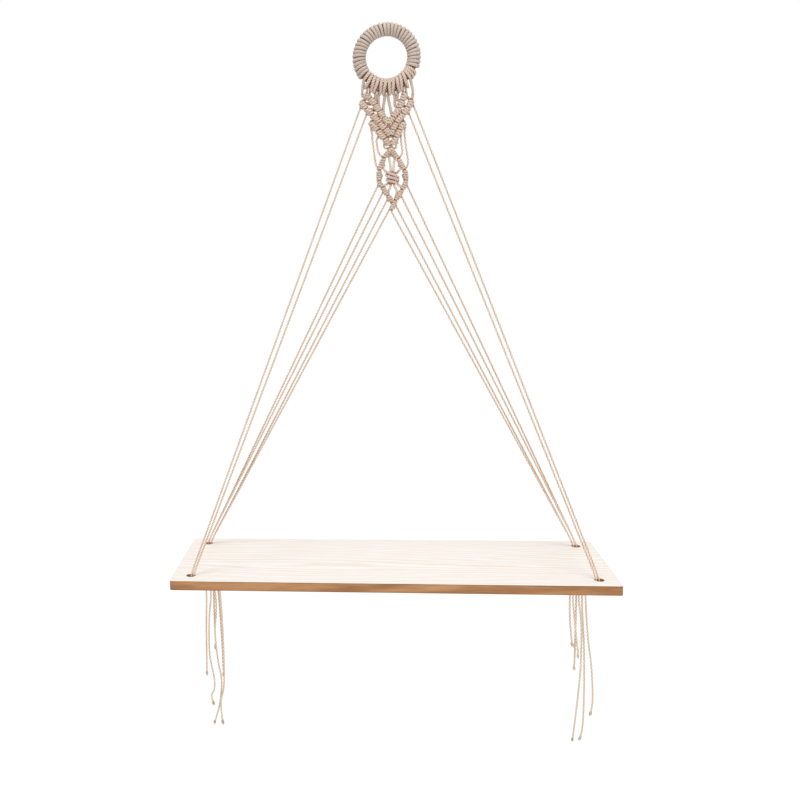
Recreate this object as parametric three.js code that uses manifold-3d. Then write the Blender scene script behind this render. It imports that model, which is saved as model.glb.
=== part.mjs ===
// Hanging rope shelf: a pine board hung by twelve cotton ropes from a knotted panel. Five folded
// cords hitch the panel to a wooden hoop, and the cord that winds the hoop ends in it too.
// Millimetres, +Z up, the front is -Y. The origin is the inner top of the wound hoop,
// where the hook or peg that holds the shelf bears on it.

import * as THREE from 'three';
import { mergeVertices } from 'three/addons/utils/BufferGeometryUtils.js';
import Module from 'manifold-3d';

const wasm = await Module();
wasm.setup();

// Cord
const CORD_DIAMETER = 3.5;
const ROPE_DIAMETER = 3.2;
const TOUCH_GAP = 0.3;
const TURN_GAP = 0.5;

// Hoop and its winding
const HOOP_OUTER_DIAMETER = 84;
const HOOP_ROD_DIAMETER = 9.4;
const SWAY_ROOM_ANGLE = 4;

// Hitches that carry the panel on the hoop
const HITCH_COUNT = 5;
const HITCH_CENTRE_ANGLE = -90.5;
const HITCH_LEG_GAP = 0.6;
const HITCH_DROP = 2.9;
const STRAND_DEPTH = 2.5;
const STRAND_GAP = 0.5;

// Turns of the winding cord beside the hitches, before its two ends hang down
const END_TURNS = { left: 1, right: 2 };
const END_SLIT_ANGLES = { left: 0.6, right: 4.5 };

// Knotted panel
const PANEL_HALF_WIDTH = 33;
const PANEL_HEIGHT = 155;
const CHEVRON_WIDTH = 8;
const CHEVRON_DEPTH = 8;
const DIAMOND_WIDTH = 6.6;
const DIAMOND_DEPTH = 6.6;
const HITCH_TURN_LENGTH = 3.9;

// Board
const BOARD_LENGTH = 600;
const BOARD_WIDTH = 200;
const BOARD_THICKNESS = 12.7;
const BOARD_EDGE_EASING = 1;
const HOLE_DIAMETER = 12;
const HOLE_END_INSET = 25;
const HOLE_SIDE_INSET = 25;
const HOOP_TO_BOARD = 700;
const ROPE_TURN_RISE = 6;

// Stopper knots and tails under the board
const STOPPER_WIDTH = 26;
const STOPPER_DEPTH = 17;
const STOPPER_HEIGHT = 30;
const STOPPER_OFFSET = 3;
const TAIL_PITCH = 4.1;

// Facets
const CORD_SIDES = 6;
const ROPE_SIDES = 8;
const END_TURN_STEPS = 14;
const GAP_SAMPLES = 5;
const RIB_SIDES = 8;
const STOPPER_SIDES = 14;
const TAIL_STEP_LENGTH = 32;
const NEAREST_SAMPLES = 30;
const HOOP_SEGMENTS = 48;
const HOOP_ROD_SIDES = 14;
const SLEEVE_SEGMENTS = 40;
const SLEEVE_SIDES = 16;
const HOLE_SIDES = 16;

// Sizes that follow from the driving ones
const CORD_RADIUS = CORD_DIAMETER / 2;
const ROPE_RADIUS = ROPE_DIAMETER / 2;
const HOOP_RADIUS = (HOOP_OUTER_DIAMETER - HOOP_ROD_DIAMETER) / 2;
const TURN_RADIUS = HOOP_ROD_DIAMETER / 2 + TOUCH_GAP + CORD_RADIUS;
const HOOP_CENTRE = new THREE.Vector3(0, 0, -(HOOP_RADIUS - TURN_RADIUS - CORD_RADIUS));
const FLEX_HEIGHT = HOOP_CENTRE.z - HOOP_RADIUS - TURN_RADIUS - CORD_RADIUS - HITCH_DROP;
const BOARD_TOP = HOOP_CENTRE.z - HOOP_TO_BOARD;
const BOARD_UNDERSIDE = BOARD_TOP - BOARD_THICKNESS;
const HOLE_X = BOARD_LENGTH / 2 - HOLE_END_INSET;
const HOLE_Y = BOARD_WIDTH / 2 - HOLE_SIDE_INSET;
const HITCH_PITCH = (2 * (CORD_DIAMETER + HITCH_LEG_GAP)) / (HOOP_RADIUS - TURN_RADIUS);
const END_TURN_PITCH = (CORD_DIAMETER + TURN_GAP) / (HOOP_RADIUS - TURN_RADIUS);
const HITCHES_MIDDLE = THREE.MathUtils.degToRad(HITCH_CENTRE_ANGLE);
const ROPE_PITCH = ROPE_DIAMETER + TURN_GAP;

const shelf = new THREE.Group();

const finishes = {
  hoopWood: { color: 0x96501f, roughness: 0.55, metalness: 0 },
  cord: { color: 0xc0ad9c, roughness: 0.95, metalness: 0 },
  rope: { color: 0xc8a98b, roughness: 0.95, metalness: 0 },
  pine: { color: 0xf1e4d0, roughness: 0.6, metalness: 0 },
};

function addPart(name, geometry, finish) {
  const mesh = new THREE.Mesh(geometry, new THREE.MeshStandardMaterial(finishes[finish]));
  mesh.name = name;
  shelf.add(mesh);
  return mesh;
}

// Solids and geometry

function toSolid(geometry) {
  const bare = geometry.clone();
  bare.deleteAttribute('normal');
  bare.deleteAttribute('uv');
  const merged = mergeVertices(bare);
  return new wasm.Manifold(new wasm.Mesh({
    numProp: 3,
    vertProperties: new Float32Array(merged.attributes.position.array),
    triVerts: new Uint32Array(merged.index.array),
  }));
}

function toGeometry(solid) {
  const mesh = solid.getMesh();
  const geometry = new THREE.BufferGeometry();
  const positions = new Float32Array(mesh.vertProperties);
  geometry.setAttribute('position', new THREE.BufferAttribute(positions, 3));
  geometry.setIndex(new THREE.BufferAttribute(new Uint32Array(mesh.triVerts), 1));
  geometry.computeVertexNormals();
  return geometry;
}

function join(solids) {
  return solids.reduce((whole, solid) => whole.add(solid));
}

function cutBy(solid, neighbours) {
  return neighbours.reduce((rest, neighbour) => rest.subtract(neighbour), solid);
}

// A closed skin over rings of points; each ring has a centre, two directions and two half sizes

function ringSkin(rings, sides) {
  const positions = [];
  const faces = [];
  rings.forEach(({ centre, across, through, halfAcross, halfThrough }) => {
    for (let side = 0; side < sides; side += 1) {
      const angle = (2 * Math.PI * side) / sides;
      const point = centre.clone();
      point.addScaledVector(across, halfAcross * Math.cos(angle));
      point.addScaledVector(through, halfThrough * Math.sin(angle));
      positions.push(point.x, point.y, point.z);
    }
  });
  for (let ring = 0; ring < rings.length - 1; ring += 1) {
    for (let side = 0; side < sides; side += 1) {
      const here = ring * sides + side;
      const beside = ring * sides + ((side + 1) % sides);
      faces.push(here, beside, beside + sides, here, beside + sides, here + sides);
    }
  }
  const last = (rings.length - 1) * sides;
  for (let side = 1; side < sides - 1; side += 1) {
    faces.push(0, side + 1, side, last, last + side, last + side + 1);
  }
  const geometry = new THREE.BufferGeometry();
  geometry.setAttribute('position', new THREE.Float32BufferAttribute(positions, 3));
  geometry.setIndex(faces);
  geometry.computeVertexNormals();
  return geometry;
}

// Rings of a round tube, turned along the path without twist. Shares thin it at each point.

function tubeRings(points, radius, widthShares = []) {
  const tangents = points.map((point, i) => {
    const before = points[Math.max(i - 1, 0)];
    const after = points[Math.min(i + 1, points.length - 1)];
    return after.clone().sub(before).normalize();
  });
  const leastSine = 0.5;
  let across = new THREE.Vector3(0, 1, 0).cross(tangents[0]);
  if (across.length() < leastSine) {
    across = new THREE.Vector3(1, 0, 0).cross(tangents[0]);
  }
  across.normalize();
  return points.map((centre, i) => {
    across = across.clone().addScaledVector(tangents[i], -across.dot(tangents[i])).normalize();
    const through = tangents[i].clone().cross(across);
    const half = radius * (widthShares[i] ?? 1);
    return { centre, across, through, halfAcross: half, halfThrough: half };
  });
}

// The same tube with a round top around its first point

function domedRings(points, radius) {
  const rings = tubeRings(points, radius);
  const [first] = rings;
  const outward = points[0].clone().sub(points[1]).normalize();
  const domeShares = [0.88, 0.5];
  const dome = domeShares.map((share) => {
    const half = radius * Math.sqrt(1 - share * share);
    const centre = first.centre.clone().addScaledVector(outward, radius * share);
    return { ...first, centre, halfAcross: half, halfThrough: half };
  });
  return [...dome, ...rings];
}

// The least gap between stretches of one wound cord that lie more than a turn's part apart,
// measured on points along its rings' centres

function leastGap(rings, stretchSkipped) {
  const samples = [];
  let travelled = 0;
  for (let i = 1; i < rings.length; i += 1) {
    const length = rings[i].centre.distanceTo(rings[i - 1].centre);
    for (let step = 0; step < GAP_SAMPLES; step += 1) {
      const share = step / GAP_SAMPLES;
      samples.push({
        point: rings[i - 1].centre.clone().lerp(rings[i].centre, share),
        radius: THREE.MathUtils.lerp(rings[i - 1].halfAcross, rings[i].halfAcross, share),
        travelled: travelled + share * length,
      });
    }
    travelled += length;
  }
  let least = Infinity;
  samples.forEach((one, i) => {
    samples.slice(i + 1).forEach((other) => {
      if (other.travelled - one.travelled > stretchSkipped) {
        least = Math.min(least, one.point.distanceTo(other.point) - one.radius - other.radius);
      }
    });
  });
  return least;
}

function cordAlong(curve, steps) {
  const outline = [];
  for (let side = 0; side < CORD_SIDES; side += 1) {
    const angle = (2 * Math.PI * side) / CORD_SIDES;
    outline.push(new THREE.Vector2(CORD_RADIUS * Math.cos(angle), CORD_RADIUS * Math.sin(angle)));
  }
  return toSolid(new THREE.ExtrudeGeometry(new THREE.Shape(outline), { steps, extrudePath: curve }));
}

// A cord that runs straight from point to point, with each corner cut twice

function bentCord(corners, radius) {
  const points = [corners[0]];
  for (let i = 1; i < corners.length - 1; i += 1) {
    [corners[i - 1], corners[i + 1]].forEach((next) => {
      points.push(next.clone().sub(corners[i]).setLength(radius).add(corners[i]));
    });
  }
  points.push(corners[corners.length - 1]);
  return toSolid(ringSkin(tubeRings(points, radius), ROPE_SIDES));
}

// Hoop

function hoopPoint(ringAngle, sectionAngle, alongHoop, lift = 0) {
  const radial = new THREE.Vector3(Math.cos(ringAngle), 0, Math.sin(ringAngle));
  const along = new THREE.Vector3(-Math.sin(ringAngle), 0, Math.cos(ringAngle));
  const point = HOOP_CENTRE.clone();
  point.addScaledVector(radial, HOOP_RADIUS + (TURN_RADIUS + lift) * Math.cos(sectionAngle));
  point.addScaledVector(along, alongHoop);
  point.y -= (TURN_RADIUS + lift) * Math.sin(sectionAngle);
  return point;
}

function addHoop() {
  const hoop = new THREE.TorusGeometry(HOOP_RADIUS, HOOP_ROD_DIAMETER / 2, HOOP_ROD_SIDES, HOOP_SEGMENTS);
  hoop.rotateX(Math.PI / 2);
  const mesh = addPart('hoop', hoop, 'hoopWood');
  mesh.position.copy(HOOP_CENTRE);
}

// Half the arc of the hitches, and of the turns beside them on one side

function hitchesHalfArc() {
  return (HITCH_COUNT * HITCH_PITCH) / 2;
}

function endTurnsArc(side) {
  return THREE.MathUtils.degToRad(END_SLIT_ANGLES[side]) + END_TURNS[side] * END_TURN_PITCH;
}

// The winding goes over the top, from one side of the hitches to the other, as a plain sleeve
// of the outer shape of its turns

function hoopSleeve(first, last, radius) {
  const through = new THREE.Vector3(0, 1, 0);
  const rings = [];
  for (let step = 0; step <= SLEEVE_SEGMENTS; step += 1) {
    const ringAngle = first + ((last - first) * step) / SLEEVE_SEGMENTS;
    const across = new THREE.Vector3(Math.cos(ringAngle), 0, Math.sin(ringAngle));
    const centre = HOOP_CENTRE.clone().addScaledVector(across, HOOP_RADIUS);
    rings.push({ centre, across, through, halfAcross: radius, halfThrough: radius });
  }
  return toSolid(ringSkin(rings, SLEEVE_SIDES));
}

function addHoopWrap() {
  const room = THREE.MathUtils.degToRad(SWAY_ROOM_ANGLE);
  const first = HITCHES_MIDDLE + hitchesHalfArc() + endTurnsArc('right') + room;
  const last = HITCHES_MIDDLE - hitchesHalfArc() - endTurnsArc('left') - room + 2 * Math.PI;
  const boreRadius = (TURN_RADIUS - CORD_RADIUS) / Math.cos(Math.PI / SLEEVE_SIDES);
  const overrun = END_TURN_PITCH;
  const outside = hoopSleeve(first, last, TURN_RADIUS + CORD_RADIUS);
  const bore = hoopSleeve(first - overrun, last + overrun, boreRadius);
  addPart('hoop_wrap', toGeometry(outside.subtract(bore)), 'cord');
}

// Each hitch is a folded cord. Its two hanging ends come over the hoop from the front and pass
// behind it, under the bar of the fold, and the fold's legs pass below them to the front.

function hitchAngle(index) {
  return HITCHES_MIDDLE + (index - (HITCH_COUNT - 1) / 2) * HITCH_PITCH;
}

function strandX(ringAngle) {
  return (HOOP_CENTRE.z - FLEX_HEIGHT) * Math.cos(ringAngle);
}

function hitchStrandX(index, side) {
  return strandX(hitchAngle(index)) + (side * (CORD_DIAMETER + STRAND_GAP)) / 2;
}

// The end of a cord above the line where the panel hinges on it

function hangingEnd(x) {
  return [0, CORD_RADIUS].map((rise) => new THREE.Vector3(x, STRAND_DEPTH, FLEX_HEIGHT + TOUCH_GAP + rise));
}

// Half a hitch, from its hanging end to the middle of the bar: the turn round the rod, the lift
// off the winding, the offset along the hoop and the width, the last three in cord diameters

const hitchLegShares = [
  [-0.045, 0.6, 0.48, 0.69],
  [-0.13, -0.15, 0.43, 0.69],
  [-0.19, -0.15, 0.43, 0.69],
  [-0.25, -0.14, 0.44, 0.69],
  [-0.34, -0.04, 0.5, 0.82],
  [-0.44, 0.05, 0.56, 0.95],
  [-0.54, 0.06, 0.586, 1],
  [-0.64, 0.06, 0.6, 1],
  [-0.74, 0.06, 0.67, 1],
  [-0.84, 0.08, 0.83, 1],
  [-0.93, 0.2, 1.07, 0.85],
  [-1, 0.4, 1.33, 0.69],
  [-1.07, 0.6, 1.36, 0.69],
  [-1.12, 0.72, 1.0, 0.69],
];
const hitchBarShares = [-1.13, 0.72, 0, 0.69];
const hangingWidthShares = [1, 0.72];

function hitchPoint(index, side, [turnShare, liftShare, alongShare]) {
  const sectionAngle = 2 * Math.PI * turnShare;
  const along = side * alongShare * CORD_DIAMETER;
  return hoopPoint(hitchAngle(index), sectionAngle, along, liftShare * CORD_DIAMETER);
}

function addHitches() {
  const legWidths = [...hangingWidthShares, ...hitchLegShares.map((shares) => shares[3])];
  const widths = [...legWidths, hitchBarShares[3], ...legWidths.toReversed()];
  let least = Infinity;
  for (let index = 0; index < HITCH_COUNT; index += 1) {
    const [left, right] = [-1, 1].map((side) => [
      ...hangingEnd(hitchStrandX(index, side)),
      ...hitchLegShares.map((shares) => hitchPoint(index, side, shares)),
    ]);
    const path = [...left, hitchPoint(index, 1, hitchBarShares), ...right.reverse()];
    const rings = tubeRings(path, CORD_RADIUS, widths);
    least = Math.min(least, leastGap(rings, 2 * CORD_DIAMETER));
    addPart(`larks_head_${index + 1}`, ringSkin(rings, CORD_SIDES), 'cord');
  }
  console.log(`larks heads: least gap of a cord to itself ${least.toFixed(2)} mm`);
}

// Beside the hitches the winding cord makes its last turns, which move on only under the rod,
// and comes down from the front

function endTurnAngle(side) {
  const sign = side === 'left' ? -1 : 1;
  const slit = THREE.MathUtils.degToRad(END_SLIT_ANGLES[side]);
  return HITCHES_MIDDLE + sign * (hitchesHalfArc() + slit + END_TURN_PITCH / 2);
}

function addEndTurns() {
  const firstShare = 0.2;
  const leaveShare = 0.86;
  let least = Infinity;
  ['left', 'right'].forEach((side) => {
    const sign = side === 'left' ? -1 : 1;
    const count = END_TURNS[side];
    const turned = count - 1 + leaveShare - firstShare;
    const steps = Math.round(END_TURN_STEPS * turned);
    const path = [];
    for (let step = 0; step <= steps; step += 1) {
      const turnShare = firstShare + (turned * step) / steps;
      const crossed = (count - 1 + firstShare - turnShare) / (1 + firstShare - leaveShare);
      const turnsLeft = THREE.MathUtils.clamp(crossed, 0, count - 1);
      const ringAngle = endTurnAngle(side) + sign * turnsLeft * END_TURN_PITCH;
      path.push(hoopPoint(ringAngle, -2 * Math.PI * turnShare, 0));
    }
    path.push(...hangingEnd(strandX(endTurnAngle(side))).reverse());
    const rings = tubeRings(path, CORD_RADIUS);
    least = Math.min(least, leastGap(rings, Math.PI * TURN_RADIUS));
    addPart(`end_turns_${side}`, ringSkin(rings, CORD_SIDES), 'cord');
  });
  console.log(`end turns: least gap of the cord to itself ${least.toFixed(2)} mm`);
}

// Knotted panel. Places are shares of its half width, and of its height below the flex line.

function panelPoint([xShare, dropShare]) {
  return new THREE.Vector3(xShare * PANEL_HALF_WIDTH, 0, FLEX_HEIGHT - dropShare * PANEL_HEIGHT);
}

function panelCurve(shares) {
  return new THREE.CatmullRomCurve3(shares.map(panelPoint), false, 'centripetal');
}

// A row of half hitches along a carrying cord: every turn is a rib

function knotRow(curve, width, depth) {
  const turns = Math.round(curve.getLength() / HITCH_TURN_LENGTH);
  const valleyShare = 0.84;
  const endShare = 0.6;
  const rings = [];
  for (let step = 0; step <= 2 * turns; step += 1) {
    const u = step / (2 * turns);
    const tangent = curve.getTangentAt(u);
    const through = new THREE.Vector3(0, 1, 0);
    const across = through.clone().cross(tangent).normalize();
    const atEnd = step === 0 || step === 2 * turns;
    const inner = atEnd ? endShare : valleyShare;
    const share = step % 2 ? 1 : inner;
    rings.push({
      centre: curve.getPointAt(u),
      across,
      through,
      halfAcross: (share * width) / 2,
      halfThrough: (share * depth) / 2,
    });
  }
  return toSolid(ringSkin(rings, RIB_SIDES));
}

const chevronShares = {
  upper_left: [[-0.92, 0.034], [-0.74, 0.046], [-0.58, 0.075], [-0.45, 0.108], [-0.31, 0.153], [-0.14, 0.202],
    [0.04, 0.252]],
  upper_right: [[0.77, 0.034], [0.66, 0.06], [0.55, 0.1], [0.47, 0.14], [0.35, 0.175], [0.2, 0.22],
    [0.09, 0.25]],
  middle_left: [[-1.03, 0.068], [-0.88, 0.106], [-0.71, 0.149], [-0.54, 0.188], [-0.38, 0.23], [-0.21, 0.275],
    [-0.03, 0.315], [0.14, 0.34]],
  middle_right: [[0.97, 0.062], [0.9, 0.108], [0.79, 0.15], [0.64, 0.188], [0.49, 0.227], [0.35, 0.27],
    [0.22, 0.32]],
  lower_left: [[-0.62, 0.262], [-0.47, 0.298], [-0.33, 0.332], [-0.18, 0.368], [-0.04, 0.404], [0.13, 0.445]],
  lower_right: [[0.67, 0.275], [0.58, 0.314], [0.47, 0.346], [0.36, 0.382], [0.26, 0.412], [0.16, 0.44]],
};

const diamondShares = {
  upper_left: [[0.15, 0.505], [0.0, 0.526], [-0.12, 0.561], [-0.24, 0.61], [-0.32, 0.661], [-0.34, 0.713],
    [-0.34, 0.75]],
  upper_right: [[0.25, 0.513], [0.46, 0.567], [0.61, 0.622], [0.71, 0.674], [0.76, 0.725], [0.75, 0.758]],
  lower_left: [[-0.33, 0.76], [-0.21, 0.803], [-0.08, 0.855], [0.06, 0.903], [0.15, 0.935]],
  lower_right: [[0.75, 0.768], [0.65, 0.816], [0.5, 0.868], [0.35, 0.916], [0.23, 0.961], [0.19, 0.99]],
};

// The cords between the hitches and the first rows, outermost first

const strandShares = {
  upper_left: [
    { x: strandX(endTurnAngle('left')), shares: [[-0.85, 0.042]] },
    { x: hitchStrandX(0, -1), shares: [[-0.78, 0.046]] },
    { x: hitchStrandX(0, 1), shares: [[-0.7, 0.052]] },
    { x: hitchStrandX(1, -1), shares: [[-0.46, 0.05], [-0.45, 0.108]] },
    { x: hitchStrandX(1, 1), shares: [[-0.35, 0.05], [-0.33, 0.11], [-0.31, 0.153]] },
    { x: hitchStrandX(2, -1), shares: [[-0.11, 0.06], [-0.16, 0.13], [-0.15, 0.2]] },
  ],
  upper_right: [
    { x: hitchStrandX(4, 1), shares: [[0.72, 0.046]] },
    { x: hitchStrandX(4, -1), shares: [[0.6, 0.084]] },
    { x: hitchStrandX(3, 1), shares: [[0.43, 0.05], [0.45, 0.14]] },
    { x: hitchStrandX(3, -1), shares: [[0.33, 0.05], [0.34, 0.1], [0.36, 0.172]] },
    { x: hitchStrandX(2, 1), shares: [[0.08, 0.05], [0.14, 0.11], [0.2, 0.218]] },
  ],
  middle_right: [
    { x: strandX(endTurnAngle('right')), shares: [[0.96, 0.08]] },
  ],
};

function strandFromHitch({ x, shares }) {
  const top = new THREE.Vector3(x, STRAND_DEPTH, FLEX_HEIGHT - TOUCH_GAP - CORD_RADIUS);
  const route = [top, ...shares.map(panelPoint)];
  const points = new THREE.CatmullRomCurve3(route).getSpacedPoints(2 * shares.length - 1);
  return toSolid(ringSkin(domedRings(points, CORD_RADIUS), CORD_SIDES));
}

// The cords that cross from one row to the nearest point of the row above it

function crossingCords(lower, upper, places) {
  return places.map((place) => {
    const from = lower.getPointAt(place);
    const candidates = upper.getSpacedPoints(NEAREST_SAMPLES);
    const nearer = (best, point) => (point.distanceTo(from) < best.distanceTo(from) ? point : best);
    const to = candidates.reduce(nearer);
    return cordAlong(new THREE.LineCurve3(from, to), 1);
  });
}

const rows = {};
const seats = {};
const rowsMade = [];

function prepareRow(name, shares, width, depth) {
  const curve = panelCurve(shares);
  rows[name] = { curve, solid: knotRow(curve, width, depth) };
  seats[name] = knotRow(curve, width + 2 * TOUCH_GAP, depth + 2 * TOUCH_GAP);
}

function addChevrons() {
  Object.entries(chevronShares).forEach(([name, shares]) => {
    prepareRow(`chevron_${name}`, shares, CHEVRON_WIDTH, CHEVRON_DEPTH);
  });
  const crossingShares = { middle: [0.1, 0.33, 0.55, 0.78], lower: [0.2, 0.48, 0.76] };
  const above = { middle: 'upper', lower: 'middle' };
  ['upper', 'middle', 'lower'].forEach((level) => {
    ['left', 'right'].forEach((side) => {
      const name = `chevron_${level}_${side}`;
      const strands = strandShares[`${level}_${side}`] ?? [];
      const pieces = [rows[name].solid, ...strands.map(strandFromHitch)];
      const cutters = rowsMade.map((made) => seats[made]);
      if (level !== 'upper') {
        const upperName = `chevron_${above[level]}_${side}`;
        pieces.push(...crossingCords(rows[name].curve, rows[upperName].curve, crossingShares[level]));
      }
      addPart(name, toGeometry(cutBy(join(pieces), cutters)), 'cord');
      rowsMade.push(name);
    });
  });
}

// Diamond: its upper and lower rows meet at the sides

function addDiamond() {
  Object.entries(diamondShares).forEach(([name, shares]) => {
    prepareRow(`diamond_${name}`, shares, DIAMOND_WIDTH, DIAMOND_DEPTH);
  });
  const apex = rows.diamond_upper_left.curve.getPointAt(0);
  const chevronTip = rows.chevron_lower_left.curve.getPointAt(1);
  const apexCord = cordAlong(new THREE.LineCurve3(apex, chevronTip), 1);
  Object.keys(diamondShares).forEach((part) => {
    const name = `diamond_${part}`;
    const whole = part === 'upper_left' ? rows[name].solid.add(apexCord) : rows[name].solid;
    addPart(name, toGeometry(cutBy(whole, rowsMade.map((made) => seats[made]))), 'cord');
    rowsMade.push(name);
  });
}

// Floating cords from the lowest chevron to the sides of the diamond

const floatShares = {
  left: [
    { from: 0.04, shares: [[-0.6, 0.37], [-0.52, 0.49], [-0.46, 0.61]], to: 0.66 },
    { from: 0.28, shares: [[-0.45, 0.39], [-0.38, 0.48], [-0.31, 0.555]], to: 0.42 },
    { from: 0.74, shares: [[-0.12, 0.46]], to: 0.2 },
  ],
  right: [
    { from: 0.2, shares: [[0.74, 0.385], [0.82, 0.51], [0.86, 0.61]], to: 0.68 },
    { from: 0.5, shares: [[0.58, 0.4], [0.63, 0.48], [0.65, 0.535]], to: 0.44 },
    { from: 0.75, shares: [[0.39, 0.45]], to: 0.14 },
  ],
};

function addFloats() {
  Object.entries(floatShares).forEach(([side, floats]) => {
    floats.forEach(({ from, shares, to }, index) => {
      const start = rows[`chevron_lower_${side}`].curve.getPointAt(from);
      const end = rows[`diamond_upper_${side}`].curve.getPointAt(to);
      const route = [start, ...shares.map(panelPoint), end];
      const cord = cordAlong(new THREE.CatmullRomCurve3(route), 2 * shares.length + 1);
      const cutters = rowsMade.map((made) => seats[made]);
      addPart(`float_${side}_${index + 1}`, toGeometry(cutBy(cord, cutters)), 'cord');
    });
  });
}

// Square knot in the middle of the diamond, with the four cords that it gathers

const squareKnotShares = { x: 0.2, drop: 0.722, width: 0.52, height: 0.09 };
const gatheredCordShares = [
  [[0.05, 0.52], [0.13, 0.6], [0.14, 0.722], [0.13, 0.8], [0.0, 0.885]],
  [[0.3, 0.52], [0.26, 0.6], [0.26, 0.722], [0.31, 0.8], [0.44, 0.888]],
  [[-0.24, 0.6], [-0.09, 0.66], [0.0, 0.71]],
  [[0.6, 0.61], [0.49, 0.66], [0.4, 0.71]],
  [[0.0, 0.735], [-0.06, 0.77], [-0.22, 0.8]],
  [[0.4, 0.735], [0.52, 0.775], [0.66, 0.81]],
];

function addSquareKnot() {
  const middle = panelPoint([squareKnotShares.x, squareKnotShares.drop]);
  const halfWidth = squareKnotShares.width * PANEL_HALF_WIDTH / 2;
  const rise = squareKnotShares.height * PANEL_HEIGHT;
  const bars = [-1, 1].map((sign) => {
    const height = middle.z + (sign * rise) / 4;
    const left = new THREE.Vector3(middle.x - halfWidth, 0, height);
    const right = new THREE.Vector3(middle.x + halfWidth, 0, height);
    return knotRow(new THREE.LineCurve3(left, right), CHEVRON_WIDTH, CHEVRON_DEPTH);
  });
  const cords = gatheredCordShares.map((shares) => (
    cordAlong(new THREE.CatmullRomCurve3(shares.map(panelPoint)), shares.length)
  ));
  const diamondSeats = Object.keys(diamondShares).map((name) => seats[`diamond_${name}`]);
  const whole = cutBy(join([...bars, ...cords]), diamondSeats);
  addPart('centre_square_knot', toGeometry(whole), 'cord');
}

// Board

function addBoard() {
  const halfLength = BOARD_LENGTH / 2 - BOARD_EDGE_EASING;
  const halfWidth = BOARD_WIDTH / 2 - BOARD_EDGE_EASING;
  const outline = new THREE.Shape();
  outline.moveTo(-halfLength, -halfWidth);
  outline.lineTo(halfLength, -halfWidth);
  outline.lineTo(halfLength, halfWidth);
  outline.lineTo(-halfLength, halfWidth);
  outline.closePath();
  const plank = new THREE.ExtrudeGeometry(outline, {
    depth: BOARD_THICKNESS - 2 * BOARD_EDGE_EASING,
    bevelThickness: BOARD_EDGE_EASING,
    bevelSize: BOARD_EDGE_EASING,
    bevelSegments: 2,
  });
  plank.translate(0, 0, BOARD_UNDERSIDE + BOARD_EDGE_EASING);
  const holes = [];
  [-HOLE_X, HOLE_X].forEach((x) => {
    [-HOLE_Y, HOLE_Y].forEach((y) => {
      const holeRadius = HOLE_DIAMETER / 2;
      const hole = new THREE.CylinderGeometry(holeRadius, holeRadius, 2 * BOARD_THICKNESS, HOLE_SIDES);
      hole.rotateX(Math.PI / 2);
      hole.translate(x, y, BOARD_TOP - BOARD_THICKNESS / 2);
      holes.push(toSolid(hole));
    });
  });
  addPart('board', toGeometry(cutBy(toSolid(plank), holes)), 'pine');
}

// Ropes: two a side leave the middle chevron for the front holes, four a side leave the
// lower rows of the diamond for the back holes. Each runs straight and turns down its hole.

const ropeShares = {
  front: [0.16, 0.36],
  back: [0.1, 0.42, 0.68, 0.97],
};

// The outer ropes of a hole take its outer lane, so that none crosses another

function ropeLane(row, index) {
  const outer = index < ropeShares[row].length / 2;
  const across = (outer ? ROPE_PITCH : -ROPE_PITCH) / 2;
  const deep = (index % 2 ? -ROPE_PITCH : ROPE_PITCH) / 2;
  return { across, deep: row === 'front' ? 0 : deep };
}

function addRopes() {
  const carriers = { front: 'chevron_middle', back: 'diamond_lower' };
  ['front', 'back'].forEach((row) => {
    ['left', 'right'].forEach((side) => {
      const sign = side === 'left' ? -1 : 1;
      const carrier = `${carriers[row]}_${side}`;
      ropeShares[row].forEach((share, index) => {
        const lane = ropeLane(row, index);
        const x = sign * (HOLE_X + lane.across);
        const y = (row === 'front' ? -HOLE_Y : HOLE_Y) + lane.deep;
        const low = row === 'front' ? BOARD_UNDERSIDE + ROPE_RADIUS + TOUCH_GAP : BOARD_UNDERSIDE;
        const rope = bentCord([
          rows[carrier].curve.getPointAt(share),
          new THREE.Vector3(x, y, BOARD_TOP + ROPE_TURN_RISE),
          new THREE.Vector3(x, y, low),
        ], ROPE_RADIUS);
        const cutters = rowsMade.map((made) => seats[made]);
        addPart(`rope_${row}_${side}_${index + 1}`, toGeometry(cutBy(rope, cutters)), 'rope');
      });
    });
  });
}

// Stopper knots: all six ropes of a side are tied in one overhand knot under the back hole

const stopperTop = BOARD_UNDERSIDE - TOUCH_GAP;
const stopperBottom = stopperTop - STOPPER_HEIGHT;
const stopperX = { left: -HOLE_X + STOPPER_OFFSET, right: HOLE_X + STOPPER_OFFSET };

function stopperSolid(clearance) {
  const bulges = 3;
  const bulgeSteps = 3;
  const waistShare = 0.86;
  const profile = [new THREE.Vector2(0, 0)];
  for (let step = 0; step <= bulges * bulgeSteps; step += 1) {
    const swell = Math.abs(Math.sin((Math.PI * step) / bulgeSteps));
    profile.push(new THREE.Vector2(waistShare + (1 - waistShare) * swell, step / (bulges * bulgeSteps)));
  }
  profile.push(new THREE.Vector2(0, 1));
  const knot = new THREE.LatheGeometry(profile, STOPPER_SIDES);
  knot.rotateX(Math.PI / 2);
  knot.scale(STOPPER_WIDTH / 2 + clearance, STOPPER_DEPTH / 2 + clearance, STOPPER_HEIGHT);
  return knot;
}

function addStoppers() {
  Object.entries(stopperX).forEach(([side, x]) => {
    const mesh = addPart(`stopper_knot_${side}`, stopperSolid(0), 'rope');
    mesh.position.set(x, HOLE_Y, stopperBottom);
  });
}

// The two front ropes of a side run back under the board into that side's stopper knot

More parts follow.
